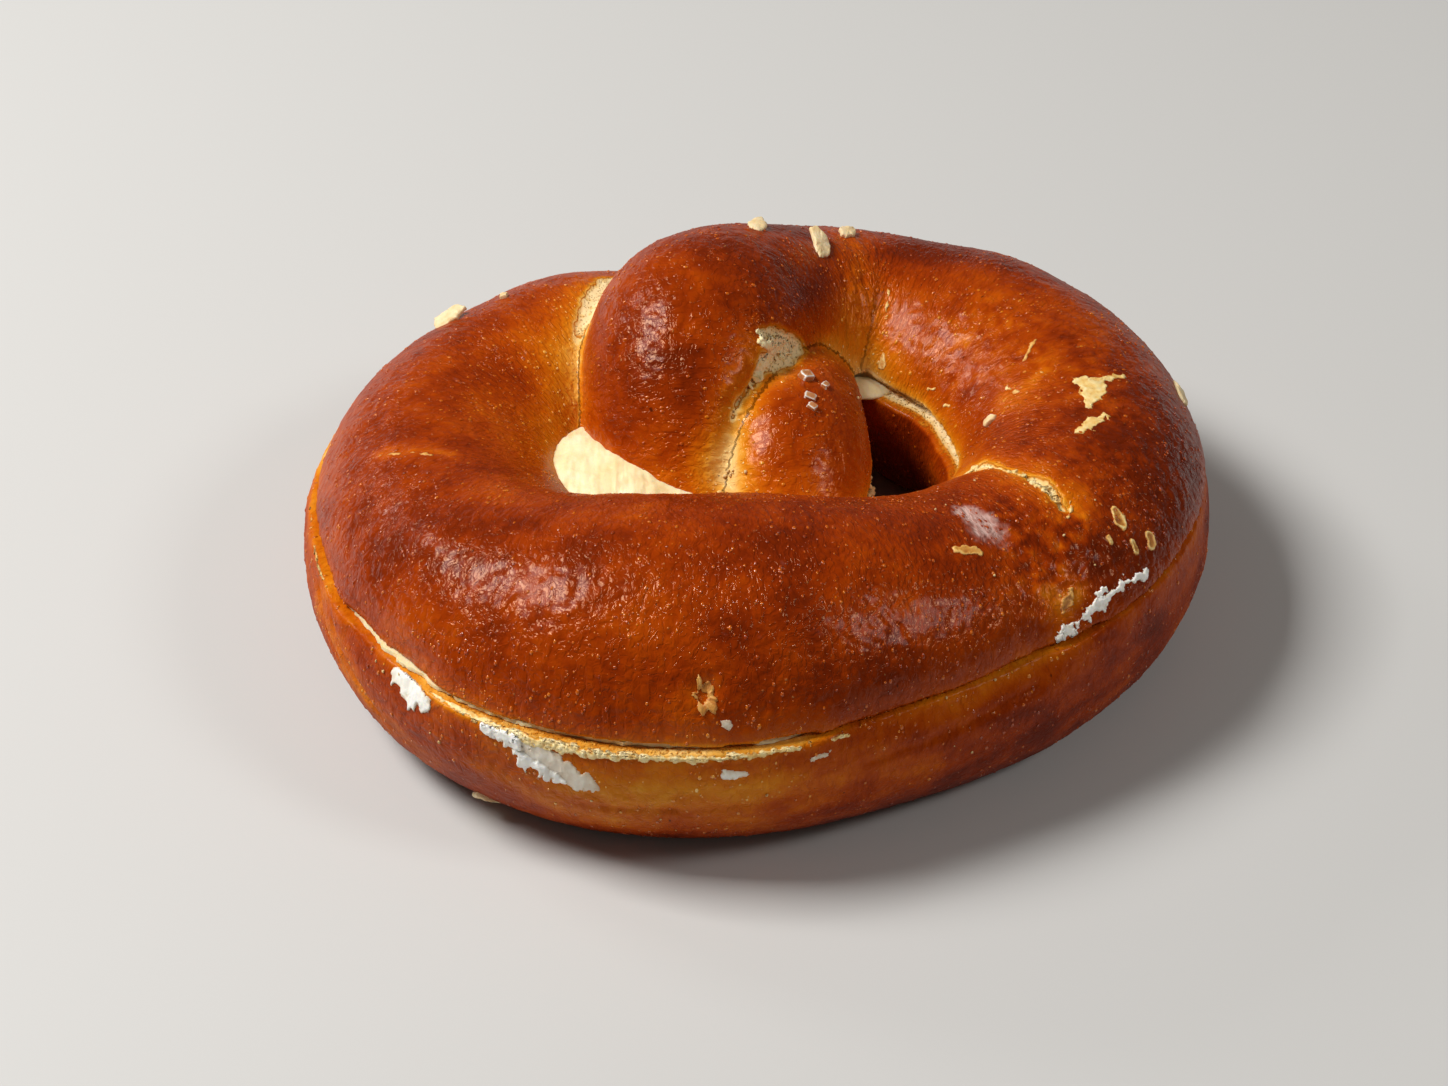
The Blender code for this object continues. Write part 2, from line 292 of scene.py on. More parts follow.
# Where points lie on the rope: run, across and up in millimetres, the gap to its skin, and the gap to those
# parts of the rope that are more than a length away along it
def ropePlaces(points, apart=38, block=8000):
    place, gap, other = np.empty((len(points), 3)), np.empty(len(points)), np.empty(len(points))
    for start in range(0, len(points), block):
        some = points[start : start + block]
        square = (some**2).sum(1)[:, None] - 2 * some @ centres.T + (centres**2).sum(1)
        gaps = np.sqrt(np.maximum(square, 0)) - radii
        best = gaps.argmin(axis=1)
        away = some - centres[best]
        chosen = slice(start, start + block)
        gap[chosen] = gaps[np.arange(len(some)), best]
        ahead = (away * tangents[best]).sum(1)
        across, up = (away * sides[best]).sum(1), (away * ups[best]).sum(1)
        place[chosen] = np.column_stack([runs[best] + ahead, across, up])
        far = np.abs(runs[None, :] - runs[best][:, None]) > apart
        other[chosen] = np.where(far, gaps, 99).min(axis=1)
    return place, gap, other


# Distance to a chain of straight spans, and how far along it each point is, from 0 to the number of spans
def chainDistance(points, chain):
    chain = np.atleast_2d(np.array(chain, float))
    best, along = np.linalg.norm(points - chain[0], axis=1), np.zeros(len(points))
    for k, (start, end) in enumerate(zip(chain, chain[1:])):
        span = end - start
        part = np.clip((points - start) @ span / (span @ span), 0, 1)
        distance = np.linalg.norm(points - start - part[:, None] * span, axis=1)
        along = np.where(distance < best, k + part, along)
        best = np.minimum(best, distance)
    return best, along


# The knife's cut

cut = {
    "pivot": (-5.0, -0.1, 22.3),
    "slopeX": -1.8,
    "slopeY": -0.6,
    "halfGap": 0.7,
    "slip": (0.6, 0.9, 0.0),
    # the outer rim where the halves press together again
    "shutRim": [(20, -56), (42, -37), (58, -22), (67, -2), (65, 18)],
    "shutReach": 13,
    "shutGap": 0.12,
    # the outer rim in front, where the crust closes on the cut and leaves only a line
    "closeRim": [(-66, 2), (-62, -20), (-52, -38), (-38, -51), (-20, -59), (2, -59), (18, -56), (30, -49)],
    "closeReach": 6,
    "closeGap": 0.3,
    "wave": 0.22,  # how far the knife wandered
    "waveLength": 14,
}


# The knife's face: a tilted plane through the pivot, with slow noise
def cutHeight(x, y):
    normal = Vector((0, 0, 1))
    normal.rotate(Euler((math.radians(cut["slopeX"]), math.radians(cut["slopeY"]), 0)))
    pivotX, pivotY, pivotZ = cut["pivot"]
    spots = np.stack([x, y, np.zeros_like(x)], axis=-1).reshape(-1, 3) / cut["waveLength"]
    wander = cut["wave"] * slopeNoise(spots, 31).reshape(x.shape)
    return pivotZ - (normal.x * (x - pivotX) + normal.y * (y - pivotY)) / normal.z + wander


# How shut the rim is at places on the table: exp(-(distance / reach)^4) from the rim that is pressed together
def shutAt(spots):
    distance, _ = chainDistance(spots, cut["shutRim"])
    return np.exp(-((distance / cut["shutReach"]) ** 4))


# Half of the gap between the two cut faces: halfGap, but closeGap and shutGap near the rims of those names
def halfGapAt(x, y):
    spots = np.stack([x, y], axis=-1).reshape(-1, 2)
    distance, _ = chainDistance(spots, cut["closeRim"])
    close = np.exp(-((distance / cut["closeReach"]) ** 2)).reshape(x.shape)
    closed = cut["halfGap"] + (cut["closeGap"] - cut["halfGap"]) * close
    return closed + (cut["shutGap"] - closed) * shutAt(spots).reshape(x.shape)


# A closed block between two height fields over a square of the table
def blockBetween(name, lowHeight, highHeight, reach=78, step=1.5):
    ticks = np.arange(-reach, reach + step, step)
    x, y = np.meshgrid(ticks, ticks, indexing="ij")
    n = len(ticks)
    low = np.stack([x, y, np.broadcast_to(lowHeight(x, y), x.shape)], axis=-1).reshape(-1, 3)
    high = np.stack([x, y, np.broadcast_to(highHeight(x, y), x.shape)], axis=-1).reshape(-1, 3)
    ring = np.concatenate([np.arange(n - 1) * n, (n - 1) * n + np.arange(n - 1),
                           n * n - 1 - np.arange(n - 1) * n, n - 1 - np.arange(n - 1)])
    after = np.roll(ring, -1)
    walls = np.stack([ring, after, after + n * n, ring + n * n], axis=1)
    faces = np.vstack([gridFaces(n, n)[:, ::-1], gridFaces(n, n, first=n * n), walls])
    return newPiece(name, np.vstack([low, high]), faces)


# The crust, the crumb and how they are pressed, torn and wrinkled

crust = {
    "fuseVoxel": 0.7,
    "fuseSmoothing": 5,
    "grown": 0.3,  # what the smoothing takes off
    "skinVoxel": 0.52,
    "rimKept": 4,  # of the cut face, in from its rim, at full fineness
    "mostTriangles": 190000,
    "trayHeight": 0.15,
    # dents, creases and swellings of the source: points along each, reach and depth
    "pressed": [
        ([(6.8, 17.1, 34.8), (4.1, 12.2, 35.8)], 3, 1.1),
        ([(4.1, 12.2, 35.8), (-0.4, 6.2, 36.4), (-4, 1.7, 34.6), (-5.6, -4.1, 26.8)], 1.7, 1),
        ([(28.7, -6.7, 29.3), (34.4, -9.4, 33.1), (42.2, -19.5, 33.6)], 2.2, 0.9),
        ([(36, -30.1, 32)], 8, 1.2),
        ([(14, -55.6, 25), (27, -50.1, 24.5), (39, -41.1, 24.5)], 4, 1.5),
        ([(-7.9, -54.7, 31.6)], 1.6, 1.2),
        ([(-45.5, -28.6, 35.4)], 4, -0.8),
        ([(-57, -33.1, 23.5), (-49, -43.1, 24)], 4, 1),
        ([(22, 21.9, 21), (27, 11.9, 21)], 8, -1.4),
        ([(-30.5, -7.1, 23), (-30.5, 6.9, 23)], 8, -1.6),
    ],
    # places where the crust is torn open: x, y, z and half width at each point, and the depth
    "tears": [
        ([(0.9, 13.6, 40.2, 0.9), (2.3, 14.6, 38.6, 1.7), (4.2, 16, 36.2, 2), (6.2, 18.4, 34.2, 1.2)], 0.55),
        ([(6.4, 18.4, 33.8, 1), (4.6, 15.6, 34.4, 1.5), (2.4, 13, 36, 2), (0.6, 10.4, 37, 1.5),
          (-0.6, 7.8, 36, 0.5), (-1.9, 5.8, 35.2, 0.3), (-3, 4.2, 34.4, 0.3), (-3.8, 2.4, 33.2, 0.2)], 0.5),
        ([(-22.4, 38, 31, 2.2), (-24.6, 32, 31.6, 2.2), (-26.4, 26.5, 31, 1.4),
          (-27, 22, 29, 0.4)], 0.2),
        ([(28.7, -6.7, 29.3, 0.5), (31.9, -5.8, 30.9, 0.9), (34.4, -9.4, 33.1, 0.4), (37.1, -12.8, 34.2, 0.6),
          (39.7, -14.8, 34.4, 1), (41.3, -17.5, 34, 1), (42.2, -19.5, 33.6, 0.5)], 0.45),
    ],
    # paler, golden crust, with some painted shade and highlight: x, y, z and reach at each point, and how
    # much browning is missing
    "goldenAndPaintedLight": [
        ([(2, 11, 37.5, 4.5), (-3, 4, 35, 4), (-5, -3, 28, 4.5)], 0.42),
        ([(-24, 33, 31, 6.5), (-28, 22, 28, 6)], 0.38),
        ([(48, 4, 34, 5)], 0.18),
        ([(31, -6, 30.5, 4), (36, -11.5, 34.2, 3.4), (42, -18, 34, 4.2)], 0.36),
        ([(36.5, 7.5, 32, 3.2), (42, 12, 34, 2.4)], 0.2),
        ([(25, 17, 25, 8), (31, 5, 27, 6)], -0.26),
        ([(33, 26, 35, 8), (38, 10, 35.5, 7)], 0.13),
        ([(60, 4, 28, 13), (54, -22, 26, 11)], -0.12),
        # painted shade over the back of the top
        ([(4, 46, 38, 12), (36, 44, 30, 14)], -0.12),
        ([(-65, -5, 22, 4), (-63, -20, 21.5, 4), (-56, -34, 21.5, 3.5)], -0.16),
        ([(-54, -5.4, 32.5, 1.2), (-49.5, -6.5, 33.6, 1.7), (-44, -7.8, 34.2, 1)], 0.22),
        ([(-15.5, -29, 42, 3.2)], 0.16),
        ([(-36, -20, 38, 3)], 0.1),
        ([(41.4, -33, 28.4, 3), (43.4, -31, 28.6, 2.2)], 0.42),
        ([(52, -18.5, 29, 4)], 0.14),
        # partly paler crust, partly a painted highlight on the inner top of the right strand
        ([(26, 35, 33, 8), (37, 20, 36, 8)], 0.08),
        ([(-7.9, -54.7, 31.6, 1.9)], 0.3),
        ([(-7.9, -54.7, 31.6, 0.8)], -0.6),
        ([(-17.5, -14, 40.5, 2.2), (-13, -14.6, 41, 1.6)], 0.24),
        # painted shade low on the left side
        ([(-53, -38, 19, 6), (-42, -48, 18, 5)], -0.14),
        ([(-61.5, -22, 19.4, 3.5), (-57.5, -33, 15, 4), (-47, -45, 9.5, 4)], 0.2),
        ([(-30, -55.5, 15, 8), (-14, -58.5, 16, 7), (3, -57.5, 16.5, 6)], 0.24),
        ([(-20, -58, 16, 2.6), (-9, -59, 17, 3.2), (2, -58, 17.5, 2.4)], 0.12),
        # partly browner crust, partly painted shade, low on the right front
        ([(30, -49, 14, 14), (52, -30, 14, 14)], -0.14),
        ([(14.5, 44, 36, 4), (14, 33, 32.5, 4.5), (12, 25, 29, 5)], 0.2),
    ],
    # fine creases of the lower half: x, y, z and reach at each point, and the depth
    "creases": [
        ([(-60.2, -24.6, 21, 0.6), (-58.6, -30, 17.4, 0.8), (-56, -35.2, 14.8, 0.8),
          (-52.8, -39.2, 11.4, 0.8), (-47.4, -44.6, 9.4, 0.8), (-39, -51, 9.4, 0.7)], 0.7),
        ([(-62.6, -19, 20, 0.6), (-61.6, -24.4, 16.4, 0.8), (-57.8, -33.4, 12.2, 0.8)], 0.6),
        ([(14, -54.6, 18.6, 0.7), (26, -49, 19.4, 0.8), (38, -41, 20.6, 0.7)], 0.4),
        ([(-24, -57, 12.8, 0.7), (-8, -59.2, 13.6, 0.8), (8, -56.8, 14.6, 0.7)], 0.35),
    ],
    # stretches of the rim that show crumb, and not a golden skin, beside the cut
    "crumblyRim": [([(-38, -50, 22, 9), (-22, -57, 22, 9), (-4, -58, 22, 8)], 0.9),
                   ([(20, 22, 21.5, 8), (29, 8, 21.5, 9)], 0.45)],
    # a dimple with a painted whitish sheen in it, and crust that is rough and glitters
    "dimpleAndSheen": [([(28.8, -22.2, 35.4, 2.2), (31, -25, 36, 3), (33.6, -26.4, 35.6, 1.8)], 1.15)],
    "rough": [([(35, -22, 35, 4.5), (38.5, -31, 31.5, 4.5), (44, -24, 32, 5)], 1),
              ([(50, -8, 33, 11), (48, 10, 34, 10), (36, 24, 34, 9)], 0.5),
              ([(29, 20, 31, 7)], 0.5)],
    "neck": [([(15.8, 43, 35.5, 5), (15.3, 33, 33, 5), (13.5, 25, 28, 4)], 1)],
    # how wide the crumb shows beside the cut, and how deep the skin reaches into the cut face
    "crumbLip": 0.4,
    "skinDepth": 1,
    # browning, 0 pale to 1 nearly black: its middle, its slow drift over the bread, and its least
    "brown": 0.86,
    "brownDrift": 0.1,
    "leastBrown": 0.4,
    # how much of it is missing in the creases between two parts of the rope, on the walls of the loops, and
    # in a narrow and a wide band beside the cut, and how far each reaches
    "creaseGold": 0.34,
    "creaseReach": 5,
    "wallGold": 0.3,
    "cutGold": [(0.2, 1.3), (0.2, 5)],
    # the lower half is paler, but browner near the tray, blotched, and given one even painted shade on the
    # walls of the loops
    "lowerGold": 0.1,
    "trayBrown": 0.2,
    "lowerBlotch": 0.11,
    "paintedWallShade": 0.74,
    "roughBlotch": 0.3,
    # depths of the relief
    "lumpDepth": 0.28,
    "wrinkleDepth": 0.09,
    "roughMore": 1.4,
    "dimpleDepth": 0.5,
    "neckDepth": 0.2,
    "poreDepth": 0.3,
}


# How far each point is inside the widest of some chains of balls, in millimetres, ragged by noise
def insideChains(points, chains, ragged):
    best = np.full(len(points), -99.0)
    for chain in chains:
        chain = np.array(chain, float)
        distance, along = chainDistance(points, chain[:, :3])
        width = np.interp(along, np.arange(len(chain)), chain[:, 3])
        best = np.maximum(best, width - distance)
    near = best > -6
    best[near] += ragged * layeredNoise(points[near] / 1.5, 3, 41)
    return best


# Sum of bell curves round some chains, each with its own strength
def bellChains(points, chains):
    total = np.zeros(len(points))
    for chain, strength in chains:
        chain = np.array(chain, float)
        distance, along = chainDistance(points, chain[:, :3])
        reach = np.interp(along, np.arange(len(chain)), chain[:, 3])
        total += strength * np.exp(-((distance / reach) ** 2))
    return total


# The dents of the source: each line sinks the crust by depth x exp(-(distance / reach)^2)
def pressedDepth(points):
    chains = [([(*point, reach) for point in line], depth) for line, reach, depth in crust["pressed"]]
    return bellChains(points, chains)


# The whole dough: the rope fused and rounded, dented, and flat below where it lay on the tray
def bakedDough(name, grown):
    whole = fuse(ropeTube(name, grown), crust["fuseVoxel"], crust["fuseSmoothing"])
    points, normals = pointsOf(whole), pointsOf(whole, "normal")
    points -= normals * pressedDepth(points)[:, None]
    points[points[:, 2] < crust["trayHeight"], 2] = 0
    setPoints(whole, points)
    return whole


# One half of the dough with its fine skin, parted by the knife's wavy face
def breadHalf(name, upper):
    half = bakedDough(name, crust["grown"])
    if upper:
        block = blockBetween("block", lambda x, y: cutHeight(x, y) + halfGapAt(x, y), lambda x, y: 70.0)
    else:
        block = blockBetween("block", lambda x, y: -20.0, lambda x, y: cutHeight(x, y) - halfGapAt(x, y))
    combine(half, "INTERSECT", block)
    remove(block)
    fuse(half, crust["skinVoxel"], 1)
    return thinHidden(half)


# Merges triangles where nothing shows: on the cut face away from its rim, and under the tray
def thinHidden(half):
    points = pointsOf(half)
    _, gap, _ = ropePlaces(points)
    hidden = (gap < -crust["rimKept"]) | (points[:, 2] < 0.02)
    group = half.vertex_groups.new(name="hidden")
    group.add(np.flatnonzero(hidden).tolist(), 1.0, "REPLACE")
    thin = half.modifiers.new("thin", "DECIMATE")
    thin.ratio = min(1.0, crust["mostTriangles"] / (2 * len(half.data.polygons)))
    thin.vertex_group = "hidden"
    thin.vertex_group_factor = 10
    applyModifiers(half)
    half.vertex_groups.clear()
    return half


# Leathery wrinkles in the rope's own coordinates, which run round the rope more than along it
def wrinkles(place, seed):
    warp = np.stack([layeredNoise(place / 9, 2, seed + k) for k in range(3)], axis=1)
    long = place / (1.5, 3.1, 3.1) + 0.9 * warp
    short = place / (2.1, 2.1, 2.1) + 1.3 * warp
    ridges = 1 - 2.2 * np.abs(slopeNoise(long, seed + 5))
    webs = 1 - 2.2 * np.abs(slopeNoise(short, seed + 9))
    share = smoothStep(slopeNoise(place / 14, seed + 13), -0.4, 0.4)
    return ridges * (1 - 0.6 * share) + webs * (0.3 + 0.6 * share)


# Signed distance into bare crumb, and how deep the tears sink: the cut face inside its skin, a ragged lip
# beside it, and the tears, each with a step at its edge
def bareness(points, gap, fromCut, shut, onSkin, slip):
    crumbly = np.clip(bellChains(points, crust["crumblyRim"]), 0, 1)
    lip = crust["crumbLip"] * (1 - 1.2 * shut) * (0.6 + 0.9 * slopeNoise(points / 4, 51)) - fromCut
    lip -= 0.5 - crumbly * 0.5
    skinned = crust["skinDepth"] - 0.75 * crumbly + 1.5 * shut + 0.25 * slopeNoise(points / 6, 53)
    bare = np.maximum(np.minimum(-gap - skinned, 1.2 - 2 * fromCut), lip)
    bare = np.minimum(bare, 3) + 0.12 * layeredNoise(points / 0.9, 2, 52)
    tornOpen, depth = np.full(len(points), -99.0), np.zeros(len(points))
    for chain, sunk in crust["tears"]:
        inside = insideChains(points + slip, [chain], 0.35 * min(1, max(row[3] for row in chain)))
        inside = np.minimum(inside, 2.2 * sunk) + 0.45 * smoothStep(inside, -0.05, 0.25)
        tornOpen = np.maximum(tornOpen, inside)
        depth = np.maximum(depth, sunk * smoothStep(inside, -0.15, 0.7))
    return np.maximum(bare, tornOpen * onSkin - 9 * (1 - onSkin)), depth


# Browning: deep on top, and golden in creases, on the walls of the loops and beside the cut, falling off
# exponentially; on the lower half the walls of the loops get an even painted shade instead
def brownness(points, place, other, fromCut, shut, upper):
    z = points[:, 2]
    inward = smoothStep(place[:, 1] / 18, -0.1, 0.55)
    low = 1 - smoothStep(z, 22, 34)
    browned = crust["brown"] + crust["brownDrift"] * layeredNoise(points / 15, 4, 61)
    creased = np.exp(-np.maximum(other, 0) / crust["creaseReach"]) * smoothStep(40 - z, 0, 12)
    browned -= crust["creaseGold"] * creased
    browned -= crust["wallGold"] * inward * low
    browned = np.maximum(browned, crust["leastBrown"] + 0.05 * layeredNoise(points / 6, 2, 62))
    away = np.maximum(fromCut, 0)
    (edgeGold, edgeReach), (wideGold, wideReach) = crust["cutGold"]
    band = edgeGold * np.exp(-((away / edgeReach) ** 2)) + wideGold * np.exp(-away / wideReach)
    browned -= band * (1 - 0.5 * shut)
    if not upper:
        browned -= crust["lowerGold"] - crust["trayBrown"] * (1 - smoothStep(z, 1, 8))
        browned += crust["lowerBlotch"] * layeredNoise(points / (9, 9, 4), 3, 63)
        # painted shade: the walls of the lower half's loops are set evenly darker
        browned += (crust["paintedWallShade"] - browned) * inward
    return browned


# Relief along the normals: lumps, wrinkles, pleats at the neck, the sunken dimple and tears, creases and
# pores
def reliefOf(points, moved, place, bare, depth, rough, warp, onSkin, upper):
    z = points[:, 2]
    skin = onSkin * smoothStep(-bare, -0.1, 0.5)
    neck = np.clip(bellChains(moved, crust["neck"]), 0, 1)
    relief = crust["lumpDepth"] * layeredNoise(points / 15, 3, 71) * smoothStep(z, 0, 6)
    wrinkled = crust["wrinkleDepth"] * (1 + crust["roughMore"] * rough) * wrinkles(place, 81)
    relief += wrinkled * skin * smoothStep(z, 0.1, 2.5)
    relief -= crust["dimpleDepth"] * np.clip(bellChains(moved, crust["dimpleAndSheen"]), 0, 1) * onSkin
    pleats = 1 - 2 * np.abs(slopeNoise(place / (1.8, 9, 9), 91))
    relief += crust["neckDepth"] * pleats * neck * skin
    relief -= depth * onSkin
    if not upper:
        relief -= bellChains(points + 0.3 * warp, crust["creases"]) * skin
    pores = smoothStep(cellNoise(points / 1.3, 95), 0.15, 0.6) - 1
    crumby = smoothStep(bare, 0, 0.5)
    relief += crust["poreDepth"] * crumby * (pores + 0.4 * layeredNoise(points / 1.1, 2, 97))
    return relief if upper else relief * smoothStep(z, 0.02, 0.6)


# Moves a half's points by its relief, slips the upper one, and keeps what its material reads as attributes
def dressHalf(half, upper):
    points, normals = pointsOf(half), pointsOf(half, "normal")
    place, gap, other = ropePlaces(points)
    gap += pressedDepth(points)
    x, y, z = points.T
    shut = 1 - (halfGapAt(x, y) - cut["shutGap"]) / (cut["halfGap"] - cut["shutGap"])
    fromCut = (1 if upper else -1) * (z - cutHeight(x, y)) - halfGapAt(x, y)
    onSkin = np.maximum(smoothStep(gap, -0.9, -0.35), smoothStep(fromCut, 0.3, 0.8))
    slip = np.array(cut["slip"]) if upper else np.zeros(3)
    moved = points + slip

    bare, depth = bareness(points, gap, fromCut, shut, onSkin, slip)
    rough = np.clip(bellChains(moved, crust["rough"]), 0, 1)
    warp = np.stack([layeredNoise(points / 2.6, 2, 64 + k) for k in range(3)], axis=1)
    browned = brownness(points, place, other, fromCut, shut, upper)
    browned += crust["roughBlotch"] * rough * layeredNoise(points / 2.4, 4, 66)
    # golden crust, and at a few places painted shade and a painted highlight, taken off the browning
    browned -= bellChains(moved + 0.8 * warp, crust["goldenAndPaintedLight"])
    relief = reliefOf(points, moved, place, bare, depth, rough, warp, onSkin, upper)
    points = points + normals * relief[:, None]
    points[:, 2] = np.maximum(points[:, 2], 0)
    # where the painted whitish sheen lies: on the dimple, broken up by noise
    paintedSheen = bellChains(points + slip, crust["dimpleAndSheen"]) + 0.45 * layeredNoise(points / 1.9, 3, 99)

    setPoints(half, points + slip)
    setAttribute(half, "ropePlace", place)
    setAttribute(half, "browned", np.clip(browned, 0, 1.2))
    setAttribute(half, "bare", np.clip(bare, -3, 3))
    setAttribute(half, "dimpleAndSheen", smoothStep(paintedSheen, 0.4, 0.95))
    return finish(half)


crustTop = dressHalf(breadHalf("crustTop", True), True)
crustBottom = dressHalf(breadHalf("crustBottom", False), False)
halves = {"top": crustTop, "bottom": crustBottom}


# Small things that lie on the bread

# Faces of a closed surface whose first and last points are poles, with rows of columns between them
def ballFaces(rows, columns):
    around = np.arange(columns)
    after = (around + 1) % columns
    last = 1 + rows * columns
    top = np.stack([np.zeros(columns, int), 1 + around, 1 + after], axis=1)
    bottom = np.stack([np.full(columns, last), last - columns + after, last - columns + around], axis=1)
    return top.tolist() + gridFaces(rows, columns, closeColumns=True, first=1).tolist() + bottom.tolist()


# A closed lump: x and y follow an outline r(turn) x sin^flatness(fall), z follows thickness x cos^edge(fall)
def lump(rows, columns, outline, thickness, flatness=1.0, edge=1.0):
    fall = np.linspace(0, math.pi, rows + 2)[1:-1, None]
    turn = np.linspace(0, 2 * math.pi, columns, endpoint=False)[None, :]
    out = outline(turn) * np.sin(fall) ** flatness
    up = 0.5 * thickness * np.sign(np.cos(fall)) * np.abs(np.cos(fall)) ** edge * np.ones_like(turn)
    middle = np.stack([out * np.cos(turn), out * np.sin(turn), up], axis=-1).reshape(-1, 3)
    return np.vstack([(0, 0, thickness / 2), middle, (0, 0, -thickness / 2)])


# Copies of one closed shape, each turned and scaled by its own 3 x 3 matrix and moved to its own place
def copiesOf(name, shape, faces, places, turns):
    points = (np.einsum("nij,mj->nmi", turns, shape) + places[:, None]).reshape(-1, 3)
    shifted = [[corner + k * len(shape) for corner in face] for k in range(len(places)) for face in faces]
    return newPiece(name, points, shifted)


# Joins pieces into one, with an attribute that all of them have
def joinPieces(name, pieces, attribute=None):
    points, faces, values = [], [], []
    for piece in pieces:
        start = sum(len(some) for some in points)
        points.append(pointsOf(piece))
        faces += [[start + corner for corner in face.vertices] for face in piece.data.polygons]
        if attribute:
            values.append(numbersOf(piece, attribute))
        remove(piece)
    joined = newPiece(name, np.vstack(points), faces)
    if attribute:
        setAttribute(joined, attribute, np.concatenate(values))
    return joined


# The place on a piece nearest a spot, with a turn that lays things flat on it
def layingOn(piece, spot, turn=0):
    _, place, normal, _ = piece.closest_point_on_mesh(Vector(spot) * mm)
    lying = normal.to_track_quat("Z", "X") @ Euler((0, 0, math.radians(turn))).to_quaternion()
    return np.array(place) / mm, np.array(lying.to_matrix()), np.array(normal)


flakes = {
    # where each lies: a point just outside the crust, length, width, turn on the crust and lean to the front
    "onTop": [((-46.8, 31.2, 30.4), 5.9, 4.3, 40, 30), ((0.2, 39.6, 42.4), 5.4, 3, 0, 16),
              ((9.9, 38.8, 38.8), 7, 3.1, 74, 25), ((14.2, 46.3, 36), 3.8, 2.6, 10, 20),
              ((63.4, 17.2, 26.4), 6.2, 2.3, 90, 0), ((-38.6, 34.8, 32), 1.9, 1.5, 0, 15),
              ((33, 6.1, 30.4), 2.4, 1.9, 20, 0)],
    "below": [((-38.5, -46.6, 3), 5.8, 2.4, 20, 0)],
    "thickness": 0.8,
    "sinks": 0.35,
    "lift": 0.25,  # of a leaning flake's width
    "reach": (0.36, 0.52),  # from a flake's middle to its straight sides, over its length
    "sides": 7,
    "ragged": 0.1,
    "curl": 0.02,
    "rows": 18,
    "columns": 72,
}


# A ragged chip: the outline is the nearest of some straight sides, with noise, and the faces wander by noise
def flake(piece, spot, length, width, turn, lean, seed):
    rng = np.random.default_rng(seed)
    count = flakes["sides"]
    facings = np.arange(count) * 2 * math.pi / count + rng.uniform(-0.35, 0.35, count)
    reaches = rng.uniform(*flakes["reach"], count)

    def outline(angle):
        straight = (reaches / np.maximum(np.cos(angle[..., None] - facings), 0.05)).min(axis=-1)
        ring = np.stack([np.cos(angle), np.sin(angle), np.full_like(angle, seed * 0.7)], axis=-1)
        jags = layeredNoise(ring.reshape(-1, 3) * 4.1, 3, seed).reshape(angle.shape)
        return np.minimum(straight, 0.58) * (1 + flakes["ragged"] * jags)

    shape = lump(flakes["rows"], flakes["columns"], outline, flakes["thickness"], 0.22, 0.6)
    shape[:, 0] *= length
    shape[:, 1] *= width
    shape[:, 2] *= 1 + 0.4 * layeredNoise(shape / 1.1 + seed, 3, seed + 5)
    shape[:, 2] += 0.25 * slopeNoise(shape / (2.2, 2.2, 9.0) + seed, seed + 8)
    shape[:, 2] -= flakes["curl"] * (shape[:, 0] ** 2 + shape[:, 1] ** 2)
    place, lying, normal = layingOn(piece, spot, turn)
    lean = math.radians(lean)
    lying = np.array(Matrix.Rotation(lean, 3, "X")) @ lying
    lift = flakes["thickness"] * (0.5 - flakes["sinks"]) + flakes["lift"] * width * math.sin(lean)
    points = shape @ lying.T + place + normal * lift
    return newPiece("flake", points, ballFaces(flakes["rows"], flakes["columns"]))


flakePieces = [flake(crustTop, *row, seed) for seed, row in enumerate(flakes["onTop"], 11)]
flakePieces += [flake(crustBottom, *row, seed) for seed, row in enumerate(flakes["below"], 31)]
bakedFlakes = finish(joinPieces("bakedFlakes", flakePieces))

salt = {
    # a point just outside the crust, length, width, height and turn
    "grains": [((7.1, 9.2, 35.8), 2, 1.8, 1.3, 10), ((9.9, 8.2, 35), 1.5, 1.1, 0.8, 50),
               ((7.6, 4.7, 35.6), 1.9, 1.3, 0.7, 20), ((7.8, 2.9, 35), 1.5, 1.1, 0.8, 0)],
    "blockiness": 0.45,
    "sinks": 0.28,  # of a grain's height
    "rows": 12,
    "columns": 24,
}


# A worn crystal: a superellipsoid, sin and cos raised to blockiness, with noise on its faces and paler edges
def saltGrain(spot, length, width, height, turn, seed):
    blocky = salt["blockiness"]
    bulge = lambda wave: np.sign(wave) * np.abs(wave) ** blocky
    fall = np.linspace(0, math.pi, salt["rows"] + 2)[1:-1, None]
    angle = np.linspace(0, 2 * math.pi, salt["columns"], endpoint=False)[None, :]
    out = np.sin(fall) ** blocky
    middle = np.stack([out * bulge(np.cos(angle)), out * bulge(np.sin(angle)),
                       bulge(np.cos(fall)) * np.ones_like(angle)], axis=-1).reshape(-1, 3)
    shape = np.vstack([(0, 0, 1), middle, (0, 0, -1)])
    shape *= 1 + 0.22 * slopeNoise(shape * 1.4 + seed, seed)[:, None]
    shape *= np.array([length, width, height]) / 2
    place, lying, normal = layingOn(crustTop, spot, turn)
    points = shape @ lying.T + place + normal * height * (0.5 - salt["sinks"])
    grain = newPiece("grain", points, ballFaces(salt["rows"], salt["columns"]))
    edges = np.maximum(np.abs(np.sin(2 * angle)) ** 5 * np.sin(fall), np.abs(np.sin(2 * fall)) ** 5)
    setAttribute(grain, "pale", np.concatenate([[0], edges.ravel(), [0]]))
    return grain


grains = [saltGrain(*row, seed) for seed, row in enumerate(salt["grains"], 51)]
saltGrains = finish(joinPieces("saltGrains", grains, "pale"), 38)

blisters = {
    "top": 8000,  # how many on each half
    "bottom": 4500,
    "radius": 0.14,
    "spread": 0.45,  # of the radius, as the deviation of its logarithm
    "paler": 0.32,
    "stretch": 1.7,
    "height": 0.42,
    "seed": 7,
}


